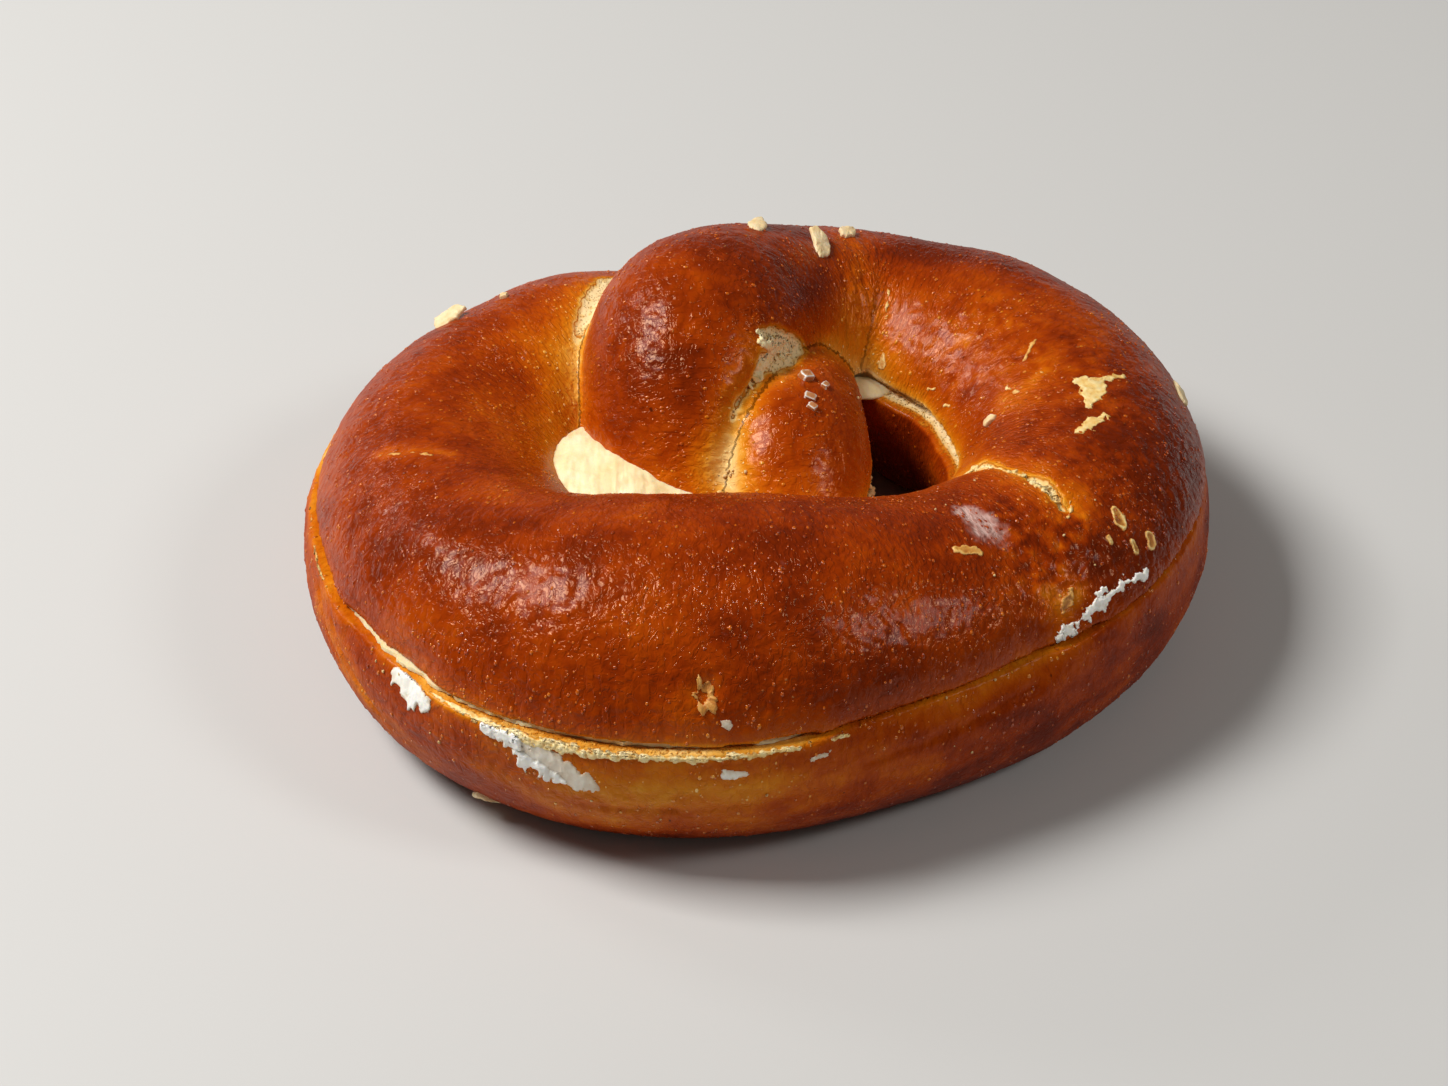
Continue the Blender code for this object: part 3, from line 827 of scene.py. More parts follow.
# Random places on a piece's skin: spread by area, more in some regions than others, and none on bare crumb
def skinPlaces(piece, count, rng):
    mesh = piece.data
    mesh.calc_loop_triangles()
    corners = np.empty(len(mesh.loop_triangles) * 3, np.int32)
    mesh.loop_triangles.foreach_get("vertices", corners)
    corners = corners.reshape(-1, 3)
    a, b, c = pointsOf(piece)[corners].transpose(1, 0, 2)
    cross = np.cross(b - a, c - a)
    onCrust = (numbersOf(piece, "bare")[corners].max(axis=1) < -0.4) * (a[:, 2] > 0.6)
    area = np.linalg.norm(cross, axis=1) * onCrust
    dense = 0.35 + 1.3 * smoothStep(layeredNoise(a / 11, 2, 101), -0.5, 0.7)
    chosen = rng.choice(len(corners), count, p=area * dense / (area * dense).sum())
    u, v = rng.random((2, count, 1))
    u, v = np.where(u + v > 1, 1 - u, u), np.where(u + v > 1, 1 - v, v)
    places = a[chosen] + u * (b - a)[chosen] + v * (c - a)[chosen]
    return places, unit(cross[chosen]), numbersOf(piece, "browned")[corners[chosen, 0]]


# Tiny blisters: a point, two rings of six and a point below, longer round the rope than along it
def blisterField(name, piece, count, rng, slip):
    places, normals, browned = skinPlaces(piece, count, rng)
    place, _, _ = ropePlaces(places - slip)
    along = tangents[np.clip(np.searchsorted(runs, place[:, 0]), 0, len(runs) - 1)]
    along = unit(along - normals * (along * normals).sum(1, keepdims=True))
    around = np.cross(normals, along)
    size = blisters["radius"] * np.exp(blisters["spread"] * rng.standard_normal(count)).clip(0.45, 2.2)
    stretch = 1 + (blisters["stretch"] - 1) * rng.random(count)
    turns = np.stack([along * size[:, None], around * (size * stretch)[:, None],
                      normals * (size * blisters["height"])[:, None]], axis=2)
    ring = np.linspace(0, 2 * math.pi, 6, endpoint=False)
    rims = [np.column_stack([out * np.cos(ring), out * np.sin(ring), np.full(6, up)])
            for out, up in ((0.7, 0.68), (1.0, -0.2))]
    shape = np.vstack([(0, 0, 1.0), *rims, (0, 0, -0.5)])
    field = copiesOf(name, shape, ballFaces(2, 6), places, turns)
    browned = np.maximum(browned - blisters["paler"] * rng.random(count), 0.05)
    setAttribute(field, "browned", np.repeat(browned, len(shape)))
    return finish(field)


rng = np.random.default_rng(blisters["seed"])
blistersTop = blisterField("blistersTop", crustTop, blisters["top"], rng, cut["slip"])
blistersBottom = blisterField("blistersBottom", crustBottom, blisters["bottom"], rng, (0, 0, 0))

butter = {
    "inset": 1.25,  # from the dough's skin
    "voxel": 1.0,
    "ragged": 0.7,
    "back": 2.2,  # further in where the rim is shut
    "seam": 0.04,  # left between the layer and the lower half
    "shade": 0.24,  # left below the upper half
    # where butter pushes into the loops: centre, half sizes, and the depth of the waves on it
    "swells": [((-19.5, -0.6, 22.8), (13.5, 15.0, 4.2), 0.35), ((16.2, 25.2, 21.1), (4.6, 2.8, 0.9), 0.15)],
    "intoWall": 0.7,
    "rows": 150,
    "columns": 300,
    "wave": 5.0,
}


# The thin layer between the halves: the dough set back from its skin, kept between the two cut faces
def butterSheet():
    sheet = fuse(ropeTube("butterLayer", -butter["inset"]), butter["voxel"], 2)
    points, normals = pointsOf(sheet), pointsOf(sheet, "normal")
    grown = butter["ragged"] * (layeredNoise(points / 2.4, 3, 105) - 0.25)
    grown -= butter["back"] * shutAt(points[:, :2])
    setPoints(sheet, points + normals * grown[:, None])
    low = lambda x, y: cutHeight(x, y) - halfGapAt(x, y) + butter["seam"]
    high = lambda x, y: cutHeight(x, y) + halfGapAt(x, y) * (1 - butter["shade"])
    block = blockBetween("block", low, high)
    combine(sheet, "INTERSECT", block)
    remove(block)
    return sheet


# Butter squeezed into a loop: an ellipsoid with soft waves, cut off just inside the dough round it
def butterSwell(core, centre, halfSizes, depth, seed):
    rows, columns = butter["rows"], butter["columns"]
    ball = lump(rows, columns, np.ones_like, 2)
    points = ball * halfSizes + centre
    waves = layeredNoise(points / butter["wave"], 3, seed)
    waves += 0.3 * layeredNoise(points / (0.8, 4.0, 2.0), 2, seed + 4)
    points += unit(ball / halfSizes) * (depth * waves)[:, None]
    swell = newPiece("swell", points, ballFaces(rows, columns))
    return combine(swell, "DIFFERENCE", core)


butterLayer = butterSheet()
core = fuse(ropeTube("core", -butter["intoWall"]), butter["voxel"], 2)
for seed, (centre, halfSizes, depth) in enumerate(butter["swells"], 111):
    swell = butterSwell(core, centre, halfSizes, depth, seed)
    combine(butterLayer, "UNION", swell)
    remove(swell)
remove(core)
finish(butterLayer, 50)

drawn = {
    "cell": 0.15,
    "over": 0.02,
    "under": 0.15,  # how far what is drawn on the crust reaches into it
}
smears = {
    # on which half, middle, length, width, turn below level, thickness and how far its fingers run
    "ovals": [
        ("bottom", (-47.4, -43.2, 21.6), 9.4, 3.4, 4, 0.24, 1.8),
        ("bottom", (-34.8, -52.7, 22.2), 7, 2.8, 18, 0.55, 0.6),
        ("bottom", (-28.4, -56, 20), 15.5, 4, 24, 0.12, 1.2),
        ("bottom", (-30.2, -56.2, 18.8), 9, 1.8, 24, 0.4, 2.4),
        ("bottom", (-3.6, -58.9, 20.6), 4, 1.2, 4, 0.22, 0.6),
        ("top", (-4.6, -56.6, 27.7), 2, 0.8, 35, 0.2, 0.2),
        ("bottom", (7.6, -56.6, 21.6), 4, 0.5, -12, 0.12, 0.2),
    ],
    "ragged": 0.42,
    "finger": 0.8,
}
torn = {
    # on which half, points along each patch (x, y, z and half width), thickness, ragged edge, how pale (0 is
    # golden, 1 is cream), how porous and fibrous, and how much of it is only a raised rim
    "skin": [
        ("top", [(0.6, 12.6, 39.4, 1.3), (2.6, 14.4, 37.2, 2), (4.8, 16.6, 35.4, 1.6), (6.2, 18.4, 34, 0.7)],
         0.45, 0.35, 1.35, 0.6, 0),
        ("top", [(2.4, 13.2, 36.2, 1.7), (0.6, 10.4, 36.6, 1.3), (-0.6, 7.8, 35.9, 0.7),
                 (-1.9, 5.8, 35.2, 0.4), (-3, 4.2, 34.5, 0.35), (-3.8, 2.4, 33.4, 0.2)],
         0.4, 0.35, 1.3, 0.6, 0),
        ("top", [(6.5, 18.6, 33.8, 0.4), (5.2, 16.6, 34, 0.7), (4.4, 14.6, 34.4, 0.8), (2.2, 11.6, 35, 0.55),
                 (-0.5, 7.9, 35.8, 0.5), (-2.7, 4.7, 34.9, 0.45), (-3.4, 3.4, 34.1, 0.5), (-4, 1.4, 32, 0.4),
                 (-4.6, -0.6, 30.6, 0.2)],
         0.6, 0.3, 1.4, 0.3, 0),
        ("top", [(28.9, -5.6, 29.6, 0.5), (30.4, -5.4, 30.2, 0.8), (32.6, -8.6, 32.8, 0.5)],
         0.35, 0.5, 0.9, 0.5, 0),
        ("top", [(34.8, -10.6, 33.8, 0.3), (36.8, -12.4, 34.6, 0.5), (39.3, -15.2, 35, 0.9),
                 (41.4, -17.4, 34.2, 1), (42.4, -19.6, 34, 0.5)], 0.4, 0.55, 0.95, 0.6, 0),
        ("top", [(43.4, -17.6, 34, 0.25), (43.4, -19.6, 33.8, 0.35), (42.8, -21.2, 33.6, 0.2)],
         0.35, 0.3, 0.8, 0.3, 0),
        ("top", [(20, 36.1, 32.5, 0.2), (19.8, 34, 31.2, 0.3), (19.6, 31.6, 29.6, 0.2)],
         0.16, 0.3, 0.75, 0.2, 0),
        ("top", [(19, 27.4, 26.2, 0.3), (18.8, 25.8, 24.9, 0.7)], 0.16, 0.3, 0.7, 0.4, 0.4),
        ("top", [(25.4, 19.6, 25.2, 0.4), (26.2, 18.8, 25.8, 0.3)], 0.2, 0.25, 0.85, 0.2, 0),
        ("top", [(27.9, 15.4, 25.4, 0.4), (28.2, 14.6, 25.8, 0.25)], 0.2, 0.25, 0.85, 0.2, 0),
        ("top", [(38.6, 15.2, 34.6, 0.2), (40.2, 17.6, 35.2, 0.35), (41.4, 20.2, 35.2, 0.2)],
         0.12, 0.4, 0.5, 0.2, 0),
        ("top", [(47.4, 8.4, 34.6, 1.6), (48.6, 7.2, 34.4, 2), (48.2, 4.6, 34.8, 1.5), (47.6, 2.6, 35, 0.6)],
         0.12, 0.32, 0.9, 0.2, 0.1),
        ("top", [(49, 9, 34.4, 1.1), (51, 9.8, 34, 0.7), (53.2, 11.4, 33.4, 0.3)], 0.12, 0.5, 0.8, 0.2, 0.1),
        ("top", [(45.2, -3.8, 35, 0.4), (47.2, -2.2, 35, 1.3), (49.6, 0.4, 34.8, 0.8)],
         0.12, 0.45, 0.85, 0.2, 0.1),
        ("top", [(36.4, 10.8, 32.2, 0.3), (38, 9.4, 32.4, 0.45)], 0.2, 0.5, 0.75, 0.3, 0),
        ("top", [(40.4, 12.2, 33.6, 0.25), (41.8, 11.8, 34, 0.2)], 0.14, 0.4, 0.5, 0.3, 0),
        ("top", [(50, -18.4, 32, 1.2), (50.6, -19.4, 31.4, 1.3)], 0.2, 0.2, 0.9, 0, 0.8),
        ("top", [(54.9, -19.2, 28.6, 1), (55.1, -19.8, 28, 1)], 0.2, 0.2, 0.85, 0, 0.8),
        ("top", [(52.2, -21.5, 29.4, 0.9), (52.6, -22, 29, 0.9)], 0.2, 0.2, 0.85, 0, 0.8),
        ("top", [(48.4, -22.6, 31.4, 0.5), (48.8, -23, 31, 0.5)], 0.16, 0.2, 0.7, 0, 0.6),
        ("top", [(26.7, -30.9, 36.4, 0.6), (28.2, -30.7, 36.1, 0.9), (29.8, -30.4, 35.5, 0.6)],
         0.16, 0.45, 0.6, 0.1, 0.5),
        ("top", [(41.4, -33.9, 27.4, 0.35), (42.2, -32.6, 28.4, 1), (43, -31.2, 29.6, 0.5)],
         0.4, 0.35, 0.5, 0.3, 0.55),
        ("bottom", [(-65.6, -4, 22.4, 0.12), (-63.4, -17, 22.6, 0.25), (-61.6, -22, 22.7, 0.15)],
         0.15, 0.25, 0.85, 0.2, 0),
        ("top", [(-54.2, -5.6, 32.7, 0.15), (-51.9, -6.6, 33.5, 0.3), (-49.4, -6.9, 34.1, 0.35),
                 (-46.4, -8.4, 34.6, 0.15)], 0.1, 0.5, 0.42, 0, 0),
        ("bottom", [(-45, -45, 22.7, 0.3), (-40.6, -48.4, 22.7, 0.55), (-36.6, -51.6, 22.8, 0.7)],
         0.25, 0.4, 0.95, 0.7, 0),
        ("bottom", [(-36.6, -51.6, 22.8, 0.7), (-33, -53.8, 22.8, 0.85), (-28.4, -55.9, 22.9, 0.85)],
         0.3, 0.45, 1, 0.7, 0),
        ("bottom", [(-28.4, -55.9, 22.9, 0.85), (-22.4, -57.6, 23, 0.7), (-16, -58.5, 23.1, 0.55)],
         0.3, 0.4, 1, 0.7, 0),
        ("bottom", [(-16, -58.5, 23.1, 0.55), (-9, -58.8, 23.2, 0.5), (-2, -58, 23.3, 0.5)],
         0.25, 0.35, 1, 0.7, 0),
        ("bottom", [(-2, -58, 23.3, 0.5), (5, -56.8, 23.5, 0.45), (12, -54.8, 23.7, 0.3)],
         0.2, 0.35, 0.95, 0.5, 0),
    ],
    "fat": [
        ("top", [(40.9, -36.2, 25, 1), (42.6, -34.9, 25.4, 0.6), (44, -33.8, 25.8, 0.25),
                 (45.6, -32.2, 26.2, 0.8), (47.6, -30.2, 26.2, 1.1), (48.8, -28.8, 26.5, 0.25),
                 (50.4, -27.2, 26.9, 0.9), (51.6, -26.2, 26.6, 0.25), (53.2, -24.9, 26.4, 0.8),
                 (54.4, -23.8, 26, 0.4)], 0.4, 0.9, 1, 0.5, 0),
        ("top", [(47, -30.2, 27.4, 0.6), (48, -29, 27.8, 0.4)], 0.35, 0.6, 1, 0.4, 0),
    ],
    # the mouth of a burst blister: middle, radius, how tall, and thickness
    "burst": [((-7.9, -54.9, 31.2), 1.3, 1.35, 0.34)],
}


# A thin thing drawn onto the crust: a flat grid laid on it, as thick as shape says there, and cut away where
# shape is not inside
def drawOn(piece, middle, turn, u, v, shape):
    place, _, normal = layingOn(piece, middle)
    level = unit(np.cross((0, 0, 1), normal))
    down = np.cross(level, normal)
    lean = math.radians(turn)
    long = level * math.cos(lean) + down * math.sin(lean)
    across = down * math.cos(lean) - level * math.sin(lean)
    u, v = np.meshgrid(np.arange(*u, drawn["cell"]), np.arange(*v, drawn["cell"]), indexing="ij")
    points = place + u[..., None] * long + v[..., None] * across + normal
    sheet = newPiece("drawn", points.reshape(-1, 3), gridFaces(*u.shape))
    wrap = sheet.modifiers.new("wrap", "SHRINKWRAP")
    wrap.wrap_method = "NEAREST_SURFACEPOINT"
    wrap.target = piece
    applyModifiers(sheet)

    surface, normals = pointsOf(sheet), pointsOf(sheet, "normal")
    normals *= np.sign((normals @ normal).sum())
    inside, thick, pale = shape(u.ravel(), v.ravel(), surface)
    kept = gridFaces(*u.shape)
    kept = kept[(inside[kept] > 0).all(axis=1)]
    used, kept = np.unique(kept, return_inverse=True)
    kept = kept.reshape(-1, 4)
    top, under = surface + normals * (thick[:, None] + drawn["over"]), surface - normals * drawn["under"]
    remove(sheet)
    outer = np.concatenate([kept[:, [k, (k + 1) % 4]] for k in range(4)])
    _, inverse, counts = np.unique(np.sort(outer, axis=1), axis=0, return_inverse=True, return_counts=True)
    rim = outer[counts[inverse.reshape(-1)] == 1]
    n = len(used)
    walls = np.column_stack([rim[:, 1], rim[:, 0], rim[:, 0] + n, rim[:, 1] + n])
    faces = np.vstack([kept, kept[:, ::-1] + n, walls])
    shell = newPiece("drawn", np.vstack([top[used], under[used]]), faces)
    setAttribute(shell, "pale", np.tile(pale[used], 2))
    return shell


# A smear of fat: an oval whose lower edge runs down in fingers, noise that is much longer down than across
def smear(which, middle, length, width, turn, thickness, fingers, seed):
    def shape(u, v, _):
        spot = np.stack([u, v, np.full(u.size, seed * 5.1)], axis=1)
        oval = 1 - np.abs(2 * u / length) ** 2.4
        wave = 1 + 0.5 * layeredNoise(spot / 2.2, 2, seed)
        run = np.maximum(slopeNoise(spot / (smears["finger"], 5.0, 1.0), seed + 3) + 0.15, 0) * fingers
        edge = 0.5 * width * wave * np.sqrt(np.maximum(oval, 0)) + np.where(v > 0, run, 0)
        inside = np.minimum(edge - np.abs(v), oval * length / 4) + 0.15
        inside += smears["ragged"] * layeredNoise(spot / 1.1, 3, seed + 5)
        lumps = 0.9 + 0.5 * layeredNoise(spot / (2.4, 3.2, 1.0), 3, seed + 7)
        thick = thickness * smoothStep(inside, -0.1, 0.8) * np.maximum(lumps, 0.2)
        return inside, thick, smoothStep(thick, 0.02, 0.3)

    spanV = (-0.8 * width, 0.8 * width + fingers)
    return drawOn(halves[which], middle, turn, (-0.6 * length, 0.6 * length), spanV, shape)


# A torn patch: a ragged ribbon along points on the crust, with strands that run down it, lumps and pores
def tornPatch(which, chain, thickness, ragged, pale, fibrous, rimmed, seed):
    widths = np.array(chain, float)[:, 3]
    chain = np.array([layingOn(halves[which], point[:3])[0] for point in chain])
    middle = chain.mean(axis=0)
    reach = np.linalg.norm(chain - middle, axis=1).max() + 1.5 * widths.max() + 0.5

    def shape(u, v, surface):
        distance, along = chainDistance(surface, chain)
        width = np.interp(along, np.arange(len(chain)), widths)
        inside = width * (1 + 0.5 * slopeNoise(surface / 1.6, seed)) - distance
        inside += ragged * layeredNoise(surface / 1.2, 3, seed + 1)
        strands = slopeNoise(np.stack([u / 0.42, v / 2.4, np.full(u.size, seed * 1.7)], axis=1), seed + 2)
        lumps = layeredNoise(surface / 0.9, 2, seed + 3)
        pores = fibrous * (1 - smoothStep(cellNoise(surface / 0.95, seed + 4), 0.16, 0.42))
        rim = np.exp(-(((inside - 0.3) / 0.2) ** 2))
        body = (1 - rimmed) * (0.65 + 0.35 * lumps + 0.5 * fibrous * strands) + rimmed * (0.15 + 0.9 * rim)
        body *= 1 - 0.8 * pores
        tone = pale * (0.85 + 0.25 * lumps + 0.25 * fibrous * strands - 0.85 * rimmed * (1 - rim))
        tone -= 0.6 * pores + 0.35 * (1 - smoothStep(inside, 0, 0.3))
        return inside, thickness * smoothStep(inside, 0, 0.35) * np.maximum(body, 0.1), tone

    return drawOn(halves[which], middle, 0, (-reach, reach), (-reach, reach), shape)


# The ragged mouth of a burst blister: a ring between two wandering radii
def burstMouth(middle, radius, tall, thickness, seed):
    def shape(u, v, _):
        away, turn = np.hypot(u, v / tall), np.arctan2(v / tall, u)
        ring = np.stack([np.cos(turn), np.sin(turn), np.full(u.size, seed * 3.1)], axis=1)
        outer = radius * (1 + 1.1 * slopeNoise(ring * 1.3, seed) + 0.5 * slopeNoise(ring * 3.1, seed + 1))
        inner = 0.38 * radius * (1 + 0.8 * slopeNoise(ring * 1.7, seed + 2))
        inside = np.minimum(outer - away, away - inner)
        thick = thickness * smoothStep(inside, 0, 0.35) * (0.8 + 0.6 * slopeNoise(ring * 4, seed + 3))
        return inside, thick, 0.25 + 0.35 * slopeNoise(ring * 3, seed + 5)

    reach = 2 * radius * tall
    return drawOn(crustTop, middle, 0, (-reach, reach), (-reach, reach), shape)


fatPieces = [smear(*row, seed) for seed, row in enumerate(smears["ovals"], 121)]
fatPieces += [tornPatch(*row, seed) for seed, row in enumerate(torn["fat"], 141)]
butterSmears = finish(joinPieces("butterSmears", fatPieces, "pale"))
tornPieces = [tornPatch(*row, seed) for seed, row in enumerate(torn["skin"], 151)]
tornPieces += [burstMouth(*row, seed) for seed, row in enumerate(torn["burst"], 191)]
tornSkin = finish(joinPieces("tornSkin", tornPieces, "pale"))

crumbs = {
    # on which half, place, how many, how far they spread, and their size
    "heaps": [("bottom", (17.8, 0.6, 21.1), 26, 2.2, 0.75), ("bottom", (20.5, 9, 14), 6, 4, 0.5),
              ("top", (17, 12.6, 30), 2, 0.6, 0.5), ("top", (-3.6, -3.6, 27.6), 7, 1, 0.45),
              ("bottom", (-12, -57, 22.8), 10, 7, 0.3), ("bottom", (-50, -40, 22.6), 9, 6, 0.3),
              ("bottom", (30, -50, 20), 7, 12, 0.25), ("top", (34, -20, 34), 12, 9, 0.28)],
    "rows": 5,
    "columns": 8,
    "seed": 17,
}


# Crumbs: lumps swollen and dented by noise, pressed a little into what they lie on
def crumbHeap(which, middle, count, spread, size, rng):
    shape = lump(crumbs["rows"], crumbs["columns"], np.ones_like, 1.7)
    places, turns = np.empty((count, 3)), np.empty((count, 3, 3))
    for k, shift in enumerate(rng.normal(0, spread, (count, 3))):
        place, lying, normal = layingOn(halves[which], np.array(middle) + shift, rng.uniform(0, 360))
        scale = size * rng.uniform(0.3, 0.8) * rng.uniform(0.7, 1.3, 3)
        places[k], turns[k] = place + normal * scale[2] * 0.45, lying * scale
    heap = copiesOf("heap", shape, ballFaces(crumbs["rows"], crumbs["columns"]), places, turns)
    points = pointsOf(heap)
    centre = np.repeat(places, len(shape), axis=0)
    points += (points - centre) * 0.45 * layeredNoise(points / 0.35, 2, 131)[:, None]
    setPoints(heap, points)
    return heap


rng = np.random.default_rng(crumbs["seed"])
looseCrumbs = finish(joinPieces("looseCrumbs", [crumbHeap(*row, rng) for row in crumbs["heaps"]]))


# Shader helpers

# A screen colour, 0 to 255, as the linear light that nodes take
def colour(red, green, blue):
    light = [v / 255 / 12.92 if v <= 10 else ((v / 255 + 0.055) / 1.055) ** 2.4 for v in (red, green, blue)]
    return (*light, 1.0)


# A node with its settings, and its inputs set to values or linked from sockets
def addNode(tree, kind, inputs=None, **settings):
    node = tree.nodes.new("ShaderNode" + kind)
    for name, value in settings.items():
        setattr(node, name, value)
    for name, value in (inputs or {}).items():
        if isinstance(value, bpy.types.NodeSocket):
            tree.links.new(value, node.inputs[name])
        else:
            node.inputs[name].default_value = value
    return node


# One step of arithmetic
def calculate(tree, operation, first, second=0.0, third=0.0, clamp=False):
    inputs = {0: first, 1: second, 2: third}
    return addNode(tree, "Math", inputs, operation=operation, use_clamp=clamp).outputs[0]


def scaled(tree, vector, factors):
    return addNode(tree, "VectorMath", {0: vector, 1: factors}, operation="MULTIPLY").outputs[0]


# value from low to high becomes 0 to 1 (or outLow to outHigh), smoothly
def ranged(tree, value, low, high, outLow=0.0, outHigh=1.0):
    inputs = {"Value": value, "From Min": low, "From Max": high, "To Min": outLow, "To Max": outHigh}
    return addNode(tree, "MapRange", inputs, interpolation_type="SMOOTHSTEP").outputs[0]


# A colour between two; a Mix node's colours are its inputs 6 and 7
def blended(tree, factor, first, second):
    return addNode(tree, "Mix", {0: factor, 6: first, 7: second}, data_type="RGBA").outputs[2]


# A colour ramp: smooth through many stops, straight between a few
def ramp(tree, value, stops):
    node = addNode(tree, "ValToRGB", {"Fac": value})
    node.color_ramp.interpolation = "B_SPLINE" if len(stops) > 4 else "LINEAR"
    elements = node.color_ramp.elements
    while len(elements) < len(stops):
        elements.new(0.5)
    for element, (position, shade) in zip(elements, stops):
        element.position = position
        element.color = shade
    return node.outputs["Color"]


# A node group with its named inputs (kind and first value) and outputs
def newGroup(name, inputs, outputs):
    group = bpy.data.node_groups.new(name, "ShaderNodeTree")
    for title, kind, value in inputs:
        socket = group.interface.new_socket(title, in_out="INPUT", socket_type="NodeSocket" + kind)
        if value is not None:
            socket.default_value = value
    for title, kind in outputs:
        group.interface.new_socket(title, in_out="OUTPUT", socket_type="NodeSocket" + kind)
    return group, group.nodes.new("NodeGroupInput").outputs, group.nodes.new("NodeGroupOutput").inputs


# A node group used in a tree, with its inputs filled
def fillGroup(tree, group, inputs):
    return addNode(tree, "Group", inputs, node_tree=group).outputs


# Leather: domed pebbles on swirled cells, 1 at their middle, with worm-like ridges of noise among them
def makeLeather():
    group, given, out = newGroup(
        "leather", [("Vector", "Vector", None), ("Fineness", "Float", 1.0), ("Swirl", "Float", 0.6)],
        [("Height", "Float")])
    slow = {"Vector": given["Vector"], "Scale": 0.3, "Detail": 2.0}
    drift = addNode(group, "TexNoise", slow).outputs["Color"]
    centred = addNode(group, "VectorMath", {0: drift, 1: (0.5, 0.5, 0.5)}, operation="SUBTRACT").outputs[0]
    swirl = addNode(group, "VectorMath", {0: centred, "Scale": given["Swirl"]}, operation="SCALE").outputs[0]
    moved = addNode(group, "VectorMath", {0: given["Vector"], 1: swirl}, operation="ADD").outputs[0]
    cells = addNode(group, "TexVoronoi", {"Vector": moved, "Scale": given["Fineness"], "Smoothness": 0.35},
                    feature="SMOOTH_F1").outputs["Distance"]
    squared = calculate(group, "MULTIPLY", cells, cells)
    wide = calculate(group, "MULTIPLY", given["Fineness"], 0.8)
    domes = calculate(group, "SUBTRACT", 1.0, calculate(group, "MULTIPLY", squared, 2.4), clamp=True)
    worms = addNode(group, "TexNoise", {"Vector": moved, "Scale": wide, "Detail": 1.5,
                                        "Roughness": 0.5, "Distortion": 1.4}).outputs["Fac"]
    ridges = calculate(group, "ABSOLUTE", calculate(group, "SUBTRACT", worms, 0.5))
    folds = ranged(group, ridges, 0.0, 0.16, 1.0, 0.0)
    both = calculate(group, "MULTIPLY_ADD", domes, 0.7, calculate(group, "MULTIPLY", folds, 0.3))
    group.links.new(both, out["Height"])
    return group


# Scattered dots of random size, 1 in the middle of each
def makeDots():
    group, given, out = newGroup(
        "dots", [("Vector", "Vector", None), ("Fineness", "Float", 1.0), ("Share", "Float", 0.4),
                 ("Size", "Float", 0.25)],
        [("Mask", "Float")])
    cells = addNode(group, "TexVoronoi", {"Vector": given["Vector"], "Scale": given["Fineness"]}).outputs
    chance = addNode(group, "SeparateColor", {"Color": cells["Color"]}).outputs
    size = calculate(group, "MULTIPLY", given["Size"], ranged(group, chance["Red"], 0.0, 1.0, 0.45, 1.0))
    part = calculate(group, "DIVIDE", cells["Distance"], size)
    inside = calculate(group, "SUBTRACT", 1.0, part, clamp=True)
    kept = calculate(group, "LESS_THAN", chance["Green"], given["Share"])
    group.links.new(calculate(group, "MULTIPLY", ranged(group, inside, 0.0, 0.7), kept), out["Mask"])
    return group


# Soft uneven tone, centred on 0
def makeMottle():
    group, given, out = newGroup(
        "mottle", [("Vector", "Vector", None), ("Fineness", "Float", 0.2), ("Strength", "Float", 0.1)],
        [("Value", "Float")])
    noise = addNode(group, "TexNoise", {"Vector": given["Vector"], "Scale": given["Fineness"], "Detail": 4.0,
                                        "Roughness": 0.6}).outputs["Fac"]
    centred = calculate(group, "SUBTRACT", noise, 0.5)
    doubled = calculate(group, "MULTIPLY", given["Strength"], 2.0)
    group.links.new(calculate(group, "MULTIPLY", centred, doubled), out["Value"])
    return group


# Bubbly crumb: pores of two sizes with thin walls. Tone is 0 in the shade of both, Height 0 in the small ones
def makeCrumb():
    group, given, out = newGroup(
        "crumb", [("Vector", "Vector", None), ("Fineness", "Float", 1.0)],
        [("Height", "Float"), ("Tone", "Float")])
    large = addNode(group, "TexVoronoi", {"Vector": given["Vector"], "Scale": given["Fineness"]},
                    feature="SMOOTH_F1").outputs["Distance"]
    fine = calculate(group, "MULTIPLY", given["Fineness"], 2.7)
    small = addNode(group, "TexVoronoi", {"Vector": given["Vector"], "Scale": fine}).outputs["Distance"]
    grainy = {"Vector": given["Vector"], "Scale": fine, "Detail": 4.0}
    grain = addNode(group, "TexNoise", grainy).outputs["Fac"]
    largeWalls = ranged(group, large, 0.12, 0.42)
    smallWalls = ranged(group, small, 0.10, 0.40)
    group.links.new(calculate(group, "MULTIPLY", smallWalls, 0.7), out["Height"])
    shade = calculate(group, "MULTIPLY_ADD", largeWalls, 0.6, calculate(group, "MULTIPLY", smallWalls, 0.4))
    tone = calculate(group, "MULTIPLY_ADD", shade, 0.75, calculate(group, "MULTIPLY", grain, 0.35))
    group.links.new(tone, out["Tone"])
    return group


leather, dots, mottle, crumbGroup = makeLeather(), makeDots(), makeMottle(), makeCrumb()


# A material, its nodes and its shader, with the values that are the same all over set on the shader's sockets
def newMaterial(name, uniform):
    made = bpy.data.materials.new(name)
    made.use_nodes = True
    tree = made.node_tree
    shader = tree.nodes["Principled BSDF"]
    for socket, value in uniform.items():
        shader.inputs[socket].default_value = value
    return made, tree, shader


# What a piece's points carry, as a number or as a vector
def attributeOf(tree, name, output="Fac"):
    return addNode(tree, "Attribute", attribute_name=name).outputs[output]


# The place on the bread in millimetres, so that fineness is in cells per millimetre
def millimetres(tree):
    place = addNode(tree, "TexCoord").outputs["Object"]
    return scaled(tree, place, (1 / mm, 1 / mm, 1 / mm))


